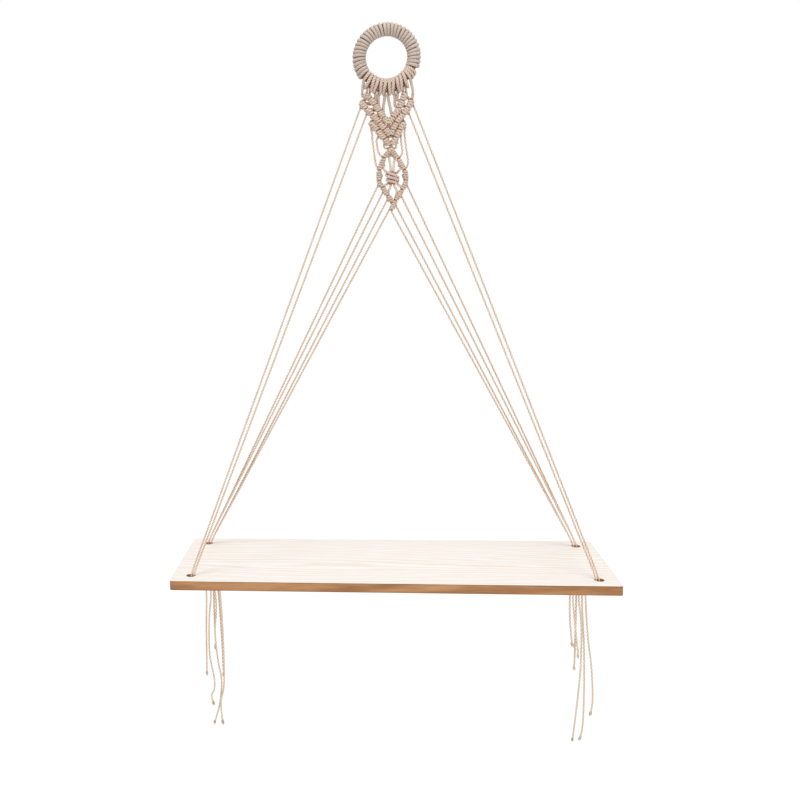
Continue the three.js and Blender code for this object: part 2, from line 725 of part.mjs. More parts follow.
function addUnderRuns() {
  Object.entries(stopperX).forEach(([side, knotX]) => {
    const sign = side === 'left' ? -1 : 1;
    const seat = stopperSolid(TOUCH_GAP);
    seat.translate(knotX, HOLE_Y, stopperBottom);
    ropeShares.front.forEach((share, index) => {
      const x = sign * (HOLE_X + ropeLane('front', index).across);
      const height = BOARD_UNDERSIDE - TOUCH_GAP - ROPE_RADIUS;
      const run = bentCord([
        new THREE.Vector3(x, -HOLE_Y, BOARD_UNDERSIDE + ROPE_RADIUS),
        new THREE.Vector3(x, -HOLE_Y, height),
        new THREE.Vector3(x, HOLE_Y, height),
      ], ROPE_RADIUS);
      addPart(`under_run_${side}_${index + 1}`, toGeometry(cutBy(run, [toSolid(seat)])), 'rope');
    });
  });
}

// Tails: the loose ends hang from the stopper knots. Each route is across, back and down
// from its place in the row under the knot.

const tailRoutes = {
  left: [
    [[1, 3, -33], [-1, 4, -97], [-2, 4, -168]],
    [[5, -4, -33], [2, -6, -70], [1, -6, -131], [7, -5, -171], [6, -5, -188], [2, -5, -196], [5, -5, -212]],
    [[3, 8, -33], [3, 10, -80], [4, 10, -128]],
    [[4, 0, -54], [1, 0, -97], [5, 0, -147], [9, 0, -171], [6, -1, -210], [-4, -1, -245]],
    [[3, 4, -33], [6, 5, -97], [8, 5, -170]],
    [[3, -4, -33], [6, -5, -107], [5, -5, -182], [0, -5, -207], [2, -5, -243]],
  ],
  right: [
    [[0, 3, -36], [1, 4, -71], [5, 4, -112]],
    [[-1, -5, -34], [2, -7, -71], [8, -7, -125]],
    [[2, 7, -48], [2, 9, -96], [1, 9, -150]],
    [[0, -1, -34], [4, -2, -74], [4, -2, -141], [1, -2, -183], [-5, -2, -243], [-7, -2, -258]],
    [[2, 3, -50], [6, 5, -114], [7, 5, -178], [5, 5, -243], [1, 5, -259]],
    [[1, -4, -33], [5, -5, -92], [11, -6, -142], [13, -6, -194], [10, -6, -214]],
  ],
};

function addTails() {
  Object.entries(tailRoutes).forEach(([side, routes]) => {
    routes.forEach((route, index) => {
      const x = stopperX[side] + (index - (routes.length - 1) / 2) * TAIL_PITCH;
      const top = new THREE.Vector3(x, HOLE_Y, stopperBottom - 2 * TOUCH_GAP - ROPE_RADIUS);
      const points = route.map(([across, back, down]) => new THREE.Vector3(across, back, down).add(top));
      const curve = new THREE.CatmullRomCurve3([top, ...points], false, 'centripetal');
      const steps = Math.max(2, Math.round(curve.getLength() / TAIL_STEP_LENGTH));
      const rings = domedRings(curve.getSpacedPoints(steps), ROPE_RADIUS);
      addPart(`tail_${side}_${index + 1}`, ringSkin(rings, ROPE_SIDES), 'rope');
    });
  });
}

addHoop();
addHoopWrap();
addHitches();
addEndTurns();
addChevrons();
addDiamond();
addFloats();
addSquareKnot();
addBoard();
addRopes();
addStoppers();
addUnderRuns();
addTails();

export default shelf;
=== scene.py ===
# Hanging rope shelf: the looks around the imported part. Metres, +Z up, the front is -Y.
# The origin is the inner top of the wound hoop, where the hook bears on it.

import math

import bpy
import numpy as np
from mathutils import Matrix, Vector


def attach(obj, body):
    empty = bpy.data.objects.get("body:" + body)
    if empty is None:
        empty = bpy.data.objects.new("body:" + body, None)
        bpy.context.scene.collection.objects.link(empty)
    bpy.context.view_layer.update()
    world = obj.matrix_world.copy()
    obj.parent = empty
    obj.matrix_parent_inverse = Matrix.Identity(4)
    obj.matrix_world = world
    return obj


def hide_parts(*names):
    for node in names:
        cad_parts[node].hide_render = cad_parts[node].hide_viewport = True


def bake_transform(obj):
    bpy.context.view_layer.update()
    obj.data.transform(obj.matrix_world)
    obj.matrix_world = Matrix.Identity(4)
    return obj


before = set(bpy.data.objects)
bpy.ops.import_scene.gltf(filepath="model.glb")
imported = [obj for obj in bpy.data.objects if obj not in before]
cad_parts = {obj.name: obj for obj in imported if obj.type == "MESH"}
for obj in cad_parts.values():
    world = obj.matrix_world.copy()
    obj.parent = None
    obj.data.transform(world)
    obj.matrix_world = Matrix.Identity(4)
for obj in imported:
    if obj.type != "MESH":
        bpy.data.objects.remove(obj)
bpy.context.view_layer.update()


# Hoop
# A turned wooden ring of 84 mm with a 9.4 mm round rod, stained orange-brown and oiled.
# It is hidden by the cord but for the slits beside the hitches, where the stain shows dark.

millimetre = 0.001
hoop_radius = 37.3
hoop_rod_radius = 4.7
hoop_centre_height = -28.8


def from_hoop_centre(points):
    """Points in millimetres from the hoop's centre, as metres from the hook."""
    return (np.asarray(points, float) + (0, 0, hoop_centre_height)) * millimetre


def paint(hex_colour):
    """An sRGB hex colour as the linear colour that a shader takes."""
    channels = [int(hex_colour[i:i + 2], 16) / 255 for i in (1, 3, 5)]
    linear = [c / 12.92 if c <= 0.04045 else ((c + 0.055) / 1.055) ** 2.4 for c in channels]
    return (*linear, 1.0)


def add_node(tree, kind, entries=(), **settings):
    """One node with its settings, a shader node if the kind names no other sort.

    An entry is a value, an outlet, or a node whose first outlet is meant."""
    node = tree.nodes.new(kind if "Node" in kind else "ShaderNode" + kind)
    for name, value in settings.items():
        setattr(node, name, value)
    for name, value in dict(entries).items():
        if isinstance(value, bpy.types.Node):
            value = value.outputs[0]
        if isinstance(value, bpy.types.NodeSocket):
            tree.links.new(value, node.inputs[name])
        else:
            node.inputs[name].default_value = value
    return node


def new_finish(name):
    """A material without nodes, and its tree."""
    finish = bpy.data.materials.new(name)
    finish.use_nodes = True
    finish.node_tree.nodes.clear()
    return finish, finish.node_tree


def colour_steps(tree, factor, steps):
    """A colour ramp through (place, sRGB hex) steps."""
    ramp = add_node(tree, "ValToRGB", {"Fac": factor})
    stops = ramp.color_ramp.elements
    for place, hex_colour in steps[2:]:
        stops.new(place)
    for stop, (place, hex_colour) in zip(stops, steps):
        stop.position = place
        stop.color = paint(hex_colour)
    return ramp.outputs["Color"]


def add_object(name, data):
    """An object at the origin, in the scene."""
    added = bpy.data.objects.new(name, data)
    bpy.context.scene.collection.objects.link(added)
    return added


def dress_node(piece, node, slot_name, body, bend=None):
    """The piece stands for its CAD node, which it hides, and moves with the body; given a bend, it is only
    fixed where it stands.
    """
    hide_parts(node)
    if bend:
        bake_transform(piece)
    else:
        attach(piece, body)


# Stained beech under oil: fine pores along the ring give short darker flecks, and a soft gloss
stained_beech, tree = new_finish("stained beech")
pore_gap = 0.0006
place = add_node(tree, "TexCoord").outputs["Object"]
pores = add_node(tree, "TexNoise", {"Vector": place, "Scale": 1 / pore_gap, "Detail": 2})
stain = colour_steps(tree, pores, [(0.3, "#7d4216"), (0.7, "#9c5a22")])
relief = add_node(tree, "Bump", {"Height": pores, "Strength": 0.1, "Distance": 0.0001})
wood = add_node(tree, "BsdfPrincipled", {"Base Color": stain, "Roughness": 0.45, "Normal": relief})
add_node(tree, "OutputMaterial", {"Surface": wood})

hoop_steps, rod_steps = 120, 24
hoop_points, hoop_faces = [], []
for ring in range(hoop_steps):
    ring_angle = 2 * math.pi * ring / hoop_steps
    for rod in range(rod_steps):
        rod_angle = 2 * math.pi * rod / rod_steps
        reach = hoop_radius + hoop_rod_radius * math.cos(rod_angle)
        depth = hoop_rod_radius * math.sin(rod_angle)
        hoop_points.append((reach * math.cos(ring_angle), depth, reach * math.sin(ring_angle)))
        next_ring, next_rod = (ring + 1) % hoop_steps, (rod + 1) % rod_steps
        hoop_faces.append((ring * rod_steps + rod, ring * rod_steps + next_rod,
                           next_ring * rod_steps + next_rod, next_ring * rod_steps + rod))
hoop_mesh = bpy.data.meshes.new("wooden_hoop")
hoop_mesh.from_pydata([tuple(p) for p in from_hoop_centre(hoop_points)], [], hoop_faces)
hoop_mesh.materials.append(stained_beech)
hoop_mesh.shade_smooth()
dress_node(add_object("wooden_hoop", hoop_mesh), "hoop", "hoop_wood", "ring")


# Winding cord
# One length of slack three-ply cotton cord, 3.6 mm thick, wound side by side round the rod in 32
# turns, from the slit on the right over the top to the slit on the left.

cord_radius = 1.8
cord_lay = 11.0
turn_radius = hoop_rod_radius + cord_radius
# Beyond the first distance from the rod's middle line the cord is pressed flat by the second share
pressed_from, pressed_share = 7.9, 0.75
steps_a_turn = 32


def even_points(points, step):
    """The same polyline with a point every step."""
    travelled = np.r_[0, np.cumsum(np.linalg.norm(np.diff(points, axis=0), axis=1))]
    count = max(2, round(travelled[-1] / step) + 1)
    places = np.linspace(0, travelled[-1], count)
    return np.column_stack([np.interp(places, travelled, column) for column in points.T])


def smooth_route(corners, step=0.8):
    """Points every step along a smooth curve through the corners; further columns go with them."""
    corners = np.asarray(corners, float)
    padded = np.vstack([2 * corners[0] - corners[1], corners, 2 * corners[-1] - corners[-2]])
    gaps = np.sqrt(np.linalg.norm(np.diff(padded[:, :3], axis=0), axis=1))
    knots = np.r_[0, np.cumsum(np.maximum(gaps, 1e-6))]
    line = []
    for i in range(1, len(padded) - 2):
        span = knots[i + 1] - knots[i]
        near = (padded[i] - padded[i - 1]) / (knots[i] - knots[i - 1])
        near += ((padded[i + 1] - padded[i]) / span
                 - (padded[i + 1] - padded[i - 1]) / (knots[i + 1] - knots[i - 1]))
        far = (padded[i + 1] - padded[i]) / span
        far += (padded[i + 2] - padded[i + 1]) / (knots[i + 2] - knots[i + 1])
        far -= (padded[i + 2] - padded[i]) / (knots[i + 2] - knots[i])
        share = np.linspace(0, 1, 13)[:-1, None]
        line.append((2 * share**3 - 3 * share**2 + 1) * padded[i]
                    + (share**3 - 2 * share**2 + share) * span * near
                    + (3 * share**2 - 2 * share**3) * padded[i + 1] + (share**3 - share**2) * span * far)
    line.append(corners[-1:])
    return even_points(np.vstack(line), step)


def twisted_cord_tree():
    """Geometry Nodes: three plies laid round each other along every route of the mesh."""
    tree = bpy.data.node_groups.new("Twisted cord", "GeometryNodeTree")
    for name, kind in (("Route", "Geometry"), ("Cord Radius", "Float"), ("Lay", "Float"), ("Step", "Float"),
                       ("Groove", "Float"), ("Unevenness", "Float"), ("Profile Points", "Int"),
                       ("Finish", "Material")):
        tree.interface.new_socket(name, in_out="INPUT", socket_type="NodeSocket" + kind)
    tree.interface.new_socket("Cord", in_out="OUTPUT", socket_type="NodeSocketGeometry")
    given = add_node(tree, "NodeGroupInput").outputs

    line = add_node(tree, "GeometryNodeMeshToCurve", {"Mesh": given["Route"]})
    line = add_node(tree, "GeometryNodeResampleCurve", {"Curve": line, "Length": given["Step"]},
                    mode="LENGTH")
    along = add_node(tree, "GeometryNodeSplineParameter").outputs["Length"]
    index = add_node(tree, "GeometryNodeInputIndex")
    strand = add_node(tree, "GeometryNodeFieldOnDomain", {"Value": index}, domain="CURVE", data_type="INT")
    phase = add_node(tree, "FunctionNodeRandomValue", {"ID": strand, "Seed": 7, 2: 0.0, 3: 1.0},
                     data_type="FLOAT").outputs[1]
    width = add_node(tree, "GeometryNodeInputNamedAttribute", {"Name": "width"}, data_type="FLOAT")
    # The cord swells and thins a little every centimetre, no strand like another
    lumps_a_metre, strands_apart = 110.0, 50.0
    lumps = add_node(tree, "CombineXYZ", {"X": along, "Y": phase})
    lumps = add_node(tree, "VectorMath", {0: lumps, 1: (lumps_a_metre, strands_apart, 0)},
                     operation="MULTIPLY")
    swelling = add_node(tree, "TexNoise", {"Vector": lumps, "Scale": 1.0, "Detail": 2})
    groove = given["Groove"]
    circle = add_node(tree, "GeometryNodeCurvePrimitiveCircle",
                      {"Resolution": given["Profile Points"], "Radius": 1.0})
    spot = add_node(tree, "GeometryNodeInputPosition")
    spot = add_node(tree, "SeparateXYZ", {0: spot}).outputs

    # The profile is three round plies pressed together, with a groove between each two
    sums = {}
    for name, operation, *terms in (
            ("lays", "DIVIDE", along, given["Lay"]), ("laid", "ADD", "lays", phase),
            ("tilt", "MULTIPLY", "laid", 2 * math.pi),
            ("over", "SUBTRACT", swelling, 0.5), ("swollen", "MULTIPLY", "over", given["Unevenness"]),
            ("uneven", "ADD", 1.0, "swollen"), ("thickness", "MULTIPLY", width, "uneven"),
            ("angle", "ARCTAN2", spot["Y"], spot["X"]),
            ("folded", "WRAP", "angle", math.pi / 3, -math.pi / 3), ("ply", "SUBTRACT", 1.0, groove),
            ("sine", "SINE", "folded"), ("aside", "MULTIPLY", groove, "sine"),
            ("ply squared", "POWER", "ply", 2.0), ("aside squared", "POWER", "aside", 2.0),
            ("left squared", "SUBTRACT", "ply squared", "aside squared"), ("left", "SQRT", "left squared"),
            ("cosine", "COSINE", "folded"), ("ahead", "MULTIPLY", groove, "cosine"),
            ("reach", "ADD", "left", "ahead"), ("size", "MULTIPLY", "reach", given["Cord Radius"]),
            ("x", "MULTIPLY", "size", spot["X"]), ("y", "MULTIPLY", "size", spot["Y"]),
            ("depth", "SUBTRACT", 1.0, "reach"), ("x share", "COSINE", "angle"),
            ("y share", "SINE", "angle")):
        entries = {place: sums[term] if isinstance(term, str) else term for place, term in enumerate(terms)}
        sums[name] = add_node(tree, "Math", entries, operation=operation)

    line = add_node(tree, "GeometryNodeSetCurveTilt", {"Curve": line, "Tilt": sums["tilt"]})
    line = add_node(tree, "GeometryNodeSetCurveRadius", {"Curve": line, "Radius": sums["thickness"]})
    line = add_node(tree, "GeometryNodeStoreNamedAttribute",
                    {"Geometry": line, "Name": "along", "Value": along}, data_type="FLOAT", domain="POINT")
    moved = add_node(tree, "CombineXYZ", {"X": sums["x"], "Y": sums["y"]})
    section = add_node(tree, "CombineXYZ", {"X": sums["x share"], "Y": sums["y share"]})
    profile = add_node(tree, "GeometryNodeSetPosition", {"Geometry": circle, "Position": moved})
    for name, value, kind in (("depth", sums["depth"], "FLOAT"), ("section", section, "FLOAT_VECTOR")):
        kept = {"Geometry": profile, "Name": name, "Value": value}
        profile = add_node(tree, "GeometryNodeStoreNamedAttribute", kept, data_type=kind, domain="POINT")
    scale = add_node(tree, "GeometryNodeInputRadius")
    cord = add_node(tree, "GeometryNodeCurveToMesh",
                    {"Curve": line, "Profile Curve": profile, "Scale": scale, "Fill Caps": True})
    for step in ("SetShadeSmooth", "RealizeInstances"):
        cord = add_node(tree, "GeometryNode" + step, {"Geometry": cord})
    cord = add_node(tree, "GeometryNodeSetMaterial", {"Geometry": cord, "Material": given["Finish"]})
    add_node(tree, "NodeGroupOutput", {"Cord": cord})
    return tree


twisted_cord = twisted_cord_tree()


def mark_shaded_hollows(mesh, distances, deep, shallow, inner, most):
    """Keep how far each point lies in a gap between turns, as its share of painted shade: most at the deep
    distance, 0 from the shallow.
    """
    share = np.clip((shallow - distances) / (shallow - deep), 0, 1)
    share = np.maximum(most * share * share * (3 - 2 * share), inner)
    mesh.attributes.new("hollow_shade", "FLOAT", "POINT").data.foreach_set("value", share.astype(np.float32))


def mesh_points(mesh):
    """The mesh's points, in millimetres from the hoop's centre, and their normals."""
    points, normals = np.empty(3 * len(mesh.vertices)), np.empty(3 * len(mesh.vertices))
    mesh.vertices.foreach_get("co", points)
    mesh.vertices.foreach_get("normal", normals)
    return points.reshape(-1, 3) / millimetre - (0, 0, hoop_centre_height), normals.reshape(-1, 3)


def press_on_rod(piece, most=1.0, free_outside=True):
    """Press the turns flat on the rod, as pulling and winding does, and mark the gaps between them for
    painted shade.
    """
    points, normals = mesh_points(piece.data)
    ring = np.hypot(points[:, 0], points[:, 2])
    outwards, depth = ring - hoop_radius, points[:, 1]
    away = np.hypot(outwards, depth)
    # The legs that hang free on the outside keep their round shape
    free_from, held_until = 4, -2
    held = np.clip((free_from - outwards) / (free_from - held_until), 0, 1) if free_outside else 1
    pressed = np.where(away > pressed_from, away - (away - pressed_from) * (1 - pressed_share) * held, away)
    pressed = np.maximum(pressed, hoop_rod_radius + 0.05)
    close = away < 2 * hoop_rod_radius + cord_radius
    factor = np.where(close, pressed / np.maximum(away, 0.01), 1)
    reach = (hoop_radius + outwards * factor) / ring
    moved = np.column_stack([points[:, 0] * reach, depth * factor, points[:, 2] * reach])
    piece.data.vertices.foreach_set("co", from_hoop_centre(moved).ravel())
    piece.data.update()
    # The back bars are seen only through the gaps between the front legs, deep in their shade, which is
    # painted on them
    facing_front, bar_depth, bar_reach = -0.1, 1.5, 9.5
    behind = (normals[:, 1] < facing_front) & (depth > bar_depth) & (ring < hoop_radius + bar_reach)
    deep, shallow = hoop_rod_radius + 1.7, hoop_rod_radius + 3.5
    mark_shaded_hollows(piece.data, pressed, deep, shallow, behind.astype(float), most)


def lay_cord(name, routes, finish, radius=cord_radius, lay=cord_lay, step=0.8, groove=0.3,
             unevenness=0.16, profile_points=18):
    """A mesh of cords along the routes: points in millimetres from the hoop's centre, and a width share."""
    points, edges, widths = [], [], []
    for route in routes:
        route = np.asarray(route, float)
        if route.shape[1] == 3:
            route = np.column_stack([route, np.ones(len(route))])
        first = len(widths)
        edges += [(first + i, first + i + 1) for i in range(len(route) - 1)]
        points += [tuple(p) for p in from_hoop_centre(route[:, :3])]
        widths += list(route[:, 3])
    mesh = bpy.data.meshes.new(name)
    mesh.from_pydata(points, edges, [])
    mesh.attributes.new("width", "FLOAT", "POINT").data.foreach_set("value", np.array(widths, np.float32))
    piece = add_object(name, mesh)
    follow = piece.modifiers.new("Twisted cord", "NODES")
    follow.node_group = twisted_cord
    sizes = {"Cord Radius": radius * millimetre, "Lay": lay * millimetre, "Step": step * millimetre,
             "Groove": groove, "Unevenness": unevenness, "Profile Points": profile_points, "Finish": finish}
    for item in twisted_cord.interface.items_tree:
        if item.name in sizes:
            follow[item.identifier] = sizes[item.name]
    evaluated = piece.evaluated_get(bpy.context.evaluated_depsgraph_get())
    laid = bpy.data.meshes.new_from_object(evaluated)
    piece.modifiers.clear()
    piece.data = laid
    laid.name = name
    bpy.data.meshes.remove(mesh)
    return piece


def twisted_cotton(name, groove, shade, body, crest):
    """Cotton cord with painted shade between the plies, painted light on them and painted shade between
    neighbouring cords, with fibres that run along the cord.
    """
    finish, tree = new_finish(name)
    depth, along, hollow_shade = [add_node(tree, "Attribute", attribute_name=kept).outputs["Fac"]
                            for kept in ("depth", "along", "hollow_shade")]
    section = add_node(tree, "Attribute", attribute_name="section").outputs["Vector"]
    spot = add_node(tree, "SeparateXYZ", {0: section}).outputs
    # Yarn fibres are too fine to show, and are drawn two millimetres long and half a millimetre wide,
    # which is a third of the cord's radius
    fibre_length, fibre_width = 0.002, 0.3125
    length = add_node(tree, "Math", {0: along, 1: 1 / fibre_length}, operation="MULTIPLY")
    fibre_place = add_node(tree, "CombineXYZ", {"X": spot["X"], "Y": spot["Y"], "Z": length})
    fibres = add_node(tree, "TexNoise", {"Vector": fibre_place, "Scale": 1 / fibre_width, "Detail": 3})
    # Handling leaves paler and darker patches of about a centimetre
    patch = 0.01
    place = add_node(tree, "TexCoord").outputs["Object"]
    patches = add_node(tree, "TexNoise", {"Vector": place, "Scale": 1 / patch, "Detail": 2})
    # Painted shade in the groove between the plies and painted light on their crests, mottled by the fibres
    # and the patches
    ply_shade_part, fibre_part, patch_part, palest = 3.0, 0.6, 0.4, 0.45
    ply_shade_and_mottle = add_node(tree, "Math", {0: depth, 1: ply_shade_part}, operation="MULTIPLY")
    for pattern, part in ((fibres, fibre_part), (patches, patch_part)):
        ply_shade_and_mottle = add_node(tree, "Math", {0: pattern, 1: part, 2: ply_shade_and_mottle}, operation="MULTIPLY_ADD")
    lifted = add_node(tree, "Math", {0: ply_shade_and_mottle, 1: palest}, operation="SUBTRACT")
    colour = colour_steps(tree, lifted, [(0.0, crest), (0.85, groove), (0.25, body), (0.55, shade)])
    # Painted shade, rust-brown, deep between neighbouring cords where the light that gets in comes warm off
    # the cotton around, and on the points marked as lying in shade
    nearness, open_above, shut_below, most_marked = 0.004, 0.74, 0.3, 0.95
    openness = add_node(tree, "AmbientOcclusion", {"Distance": nearness}, samples=8).outputs["AO"]
    crevice_shade = add_node(tree, "MapRange", {"Value": openness, "From Min": open_above, "From Max": shut_below})
    painted_shade = add_node(tree, "Math", {0: hollow_shade, 1: most_marked}, operation="MULTIPLY")
    painted_shade = add_node(tree, "Math", {0: painted_shade, 1: crevice_shade}, operation="MAXIMUM")
    colour = add_node(tree, "Mix", {0: painted_shade, 6: colour, 7: paint("#bf740e")}, data_type="RGBA")
    relief = add_node(tree, "Bump", {"Height": fibres, "Strength": 0.45, "Distance": 0.0003})
    cotton = add_node(tree, "BsdfPrincipled",
                      {"Base Color": colour.outputs[2], "Roughness": 0.95, "Normal": relief,
                       "Sheen Weight": 0.2, "Sheen Roughness": 0.5, "Specular IOR Level": 0.15})
    add_node(tree, "OutputMaterial", {"Surface": cotton})
    return finish


# Washed cotton, greyish beige, with a little of its twist to be seen
knotted_cotton = twisted_cotton("knotted cotton cord", "#a48162", "#c2a88e", "#dccbbb", "#e7dace")


def round_hoop(inside_angle, outside_angle, rod_angle, lift, along=0.0):
    """A point of a turn round the rod, in degrees. Rod angle 0 is outside, 90 in front, 180 inside."""
    rod = math.radians(rod_angle)
    outside = (1 + math.cos(rod)) / 2
    ring = math.radians(inside_angle + (outside_angle - inside_angle) * outside)
    reach = hoop_radius + (turn_radius + lift) * math.cos(rod)
    depth = -(turn_radius + lift) * math.sin(rod)
    return (reach * math.cos(ring) - along * math.sin(ring), depth,
            reach * math.sin(ring) + along * math.cos(ring))


# The wound cord is the same cotton, drawn darker and greyer than the knotted cord
wound_cotton = twisted_cotton("wound cotton cord", "#92765f", "#af9988", "#cabaad", "#d6cbc1")
# On the inside of the ring there is less room, and the turns are pushed up off the rod. The soft
# cord spreads until it nearly meets its neighbours
inside_lift, filled = 2.0, 0.98
winding_turns = 32
winding_first, winding_last = -22.7, 216.7
winding_pitch = (winding_last - winding_first) / winding_turns
winding_route = []
for step in range(winding_turns * steps_a_turn + 1):
    turned = step / steps_a_turn
    ring_angle = winding_first + winding_pitch * turned
    # Wound by hand, no turn lies quite true
    wobble = 0.35 * math.sin(2.3 * turned) + 0.3 * math.sin(5.1 * turned) + 0.2 * math.sin(1.1 * turned)
    rod_angle = -90 - 360 * turned
    inside = (1 - math.cos(math.radians(rod_angle))) / 2
    reach = hoop_radius + turn_radius * math.cos(math.radians(rod_angle))
    width = math.radians(winding_pitch) * reach / (2 * cord_radius) * filled
    place = round_hoop(ring_angle + wobble, ring_angle + wobble, rod_angle, inside_lift * inside)
    winding_route.append((*place, width))
winding = lay_cord("winding_cord", [smooth_route(winding_route)], wound_cotton, groove=0.2)
press_on_rod(winding, most=0.6, free_outside=False)
dress_node(winding, "hoop_wrap", "cord", "ring")


# Last turns of the winding cord
# Beside the hitches the same cord makes one turn on the left and three on the right, and its two
# ends come down over the front of the rod as the panel's outermost strands.

strand_depth = 2.5
flex_height = -48.7
# Inside and outside angle of each turn, in the order in which the cord makes them
last_turns = {"left": [(-138.6, -135.8)], "right": [(-26.8, -29.6), (-32.3, -36.2), (-37.8, -43.5)]}
leaving_angle = {"left": -133.3, "right": -43.8}
# The first turn starts behind the outside of the rod, and the last one ends in front of it
first_share, last_part = 0.06, 0.8
step_from, step_length = 0.9, 0.3
outer_lift, more_inside, turn_width = 0.2, 1.2, 1.3
# Places on the hoop by the winding's end, which stays on the hoop, and by the hitches, which sway; they are
# passed with the turns, which are fixed where they stand
giving_angles = {"left": (-141.0, -133.5), "right": (-27.0, -40.0)}


def strand_below(hoop_angle):
    """Where the strand that leaves the hoop at an angle crosses the height at which the panel bends."""
    return -flex_height * math.cos(math.radians(hoop_angle))


for side, turns in last_turns.items():
    strand_x = strand_below(leaving_angle[side])
    route = []
    for step in range(round(steps_a_turn * (len(turns) - 1 + last_part)) + 1):
        share = first_share + step / steps_a_turn
        # The step to the next turn is made behind the rod
        passed = sum(min(max(share - step_from - done, 0) / step_length, 1) for done in range(len(turns) - 1))
        inside_angle, outside_angle = [np.interp(passed, range(len(turns)), angles) for angles in zip(*turns)]
        inside = (1 + math.cos(2 * math.pi * (share - 0.5))) / 2
        lift = outer_lift + more_inside * inside
        route.append((*round_hoop(inside_angle, outside_angle, -360 * share, lift), turn_width))
    route += [(strand_x, strand_depth - 1, flex_height + 4, 1),
              *((strand_x, strand_depth, flex_height + above, 1) for above in (0.5, -0.5))]
    piece = lay_cord(f"last_turns_{side}", [smooth_route(route)], knotted_cotton)
    press_on_rod(piece)
    held, free = [from_hoop_centre([[hoop_radius * math.cos(math.radians(angle)), 0,
                                     hoop_radius * math.sin(math.radians(angle))]])[0].tolist()
                  for angle in giving_angles[side]]
    dress_node(piece, f"end_turns_{side}", "cord", "ring", ("hitches", held, free))


# Lark's heads
# Five cords of the same cotton, each folded in half and hitched over the rod with its bar at the
# back. Both ends hang behind, and the legs spread below the rod, so that neighbours meet in tips.

hitch_count, hitch_unit = 5, 3.5
inside_angles = [-87.5 + (i - 2) * 19.0 for i in range(hitch_count)]
outside_angles = [-90.5 + (i - 2) * 15.38 for i in range(hitch_count)]
# Turn round the rod, lift off it and place along the hoop in cord diameters, width share
half_hitch = [(-0.045, 0.6, 0.48, 0.8), (-0.13, 0, 0.45, 0.85), (-0.19, -0.05, 0.5, 1),
              (-0.25, 0.05, 0.56, 1.1), (-0.34, 0.3, 0.62, 1.15), (-0.44, 0.6, 0.66, 1.22),
              (-0.54, 0.6, 0.68, 1.28), (-0.64, 0.35, 0.72, 1.36), (-0.74, 0.2, 0.82, 1.45),
              (-0.83, 0.3, 0.98, 1.42), (-0.89, 0.6, 1.14, 1.28), (-0.94, 1.05, 1.28, 1.12),
              (-0.99, 1.5, 1.3, 0.98), (-1.04, 1.5, 1.18, 0.9), (-1.09, 1.1, 0.9, 0.85)]
bar_turn, bar_lift, bar_width = -1.12, 0.85, 0.85


def hitch_strand_x(index, side):
    """Where one hanging end of a hitch meets the panel."""
    return strand_below(outside_angles[index]) + side * 2.0


for index, (inside_angle, outside_angle) in enumerate(zip(inside_angles, outside_angles)):
    ends = []
    for side in (-1, 1):
        x = hitch_strand_x(index, side)
        leg = [(x, strand_depth, flex_height - 0.5, 1), (x, strand_depth, flex_height + 1.8, 0.9)]
        for turn, lift, along, width in half_hitch:
            leg.append((*round_hoop(inside_angle, outside_angle, 360 * turn, lift * hitch_unit,
                                    side * along * hitch_unit), width))
        ends.append(leg)
    bar = (*round_hoop(inside_angle, outside_angle, 360 * bar_turn, bar_lift * hitch_unit), bar_width)
    piece = lay_cord(f"larks_head_cord_{index + 1}", [smooth_route([*ends[0], bar, *ends[1][::-1]])],
                     knotted_cotton)
    press_on_rod(piece)
    dress_node(piece, f"larks_head_{index + 1}", "cord", "hitches")


# Chevrons
# Three rows a side of diagonal double half hitches. Each knotting cord winds tightly round the
# row's carrying cord, drops behind it and goes on to the next row, from the outside to the middle.

knot_turn_radius = 2.95
knotted_radius = 2.05
handmade = np.random.default_rng(11)
# Turns of each knotting cord, the hand they turn to, where the first begins, and the row's carrying cord
chevron_rows = {
    "upper_left": ([3, 3, 3, 3, 3], 1, 0.02, [
        (-33, 1.5, -50), (-30, 0, -49.5), (-25, 0, -52), (-20, 0, -57), (-16, 0, -62), (-11, 0, -70),
        (-5, 0, -79), (-1, 0, -84), (2, 0.5, -89)]),
    "upper_right": ([3, 3, 4, 3], -1, 0.03, [
        (27, 1.5, -47), (24, 0, -50), (22, 0, -57), (18, 0, -64), (16, 0, -70), (12, 0, -75), (6, 0, -83),
        (2, -0.5, -89)]),
    "middle_left": ([3, 3, 4, 3, 3], 1, 0.02, [
        (-36, 0.5, -57), (-34, 0, -59.5), (-30, 0, -65), (-23, 0, -72), (-18, 0, -78), (-14, 0, -82),
        (-10, 0, -88), (-5, 0, -93), (0, 0, -99), (5, 0.5, -104)]),
    "middle_right": ([3, 3, 4, 3, 2], -1, 0.06, [
        (35.15, 1, -54), (32.5, 0, -60), (28, 0, -69), (21, 0, -77), (16, 0, -83), (12, 0, -89), (8, 0, -96),
        (5, -0.5, -104)]),
    "lower_left": ([4, 4, 3], 1, 0.02, [
        (-22.5, 0, -84), (-19, 0, -90), (-15, 0, -94), (-11, 0, -99), (-6, 0, -105), (-1, 0, -111),
        (3, 0.5, -118)]),
    "lower_right": ([3, 3, 3], -1, 0.02, [
        (24, 0, -86), (20, 0, -92), (17, 0, -98), (14, 0, -103), (11, 0, -109), (7, -0.5, -117)]),
}


def along_line(line, share):
    """The point at a share of a line's length, and the line's direction there."""
    place = np.clip(np.asarray(share), 0, 1) * (len(line) - 1)
    spots = np.arange(len(line))
    point = np.column_stack([np.interp(place, spots, line[:, axis]) for axis in range(3)])
    slopes = np.gradient(line, axis=0)
    slope = np.column_stack([np.interp(place, spots, slopes[:, axis]) for axis in range(3)])
    return point, slope / np.linalg.norm(slope, axis=1)[:, None]


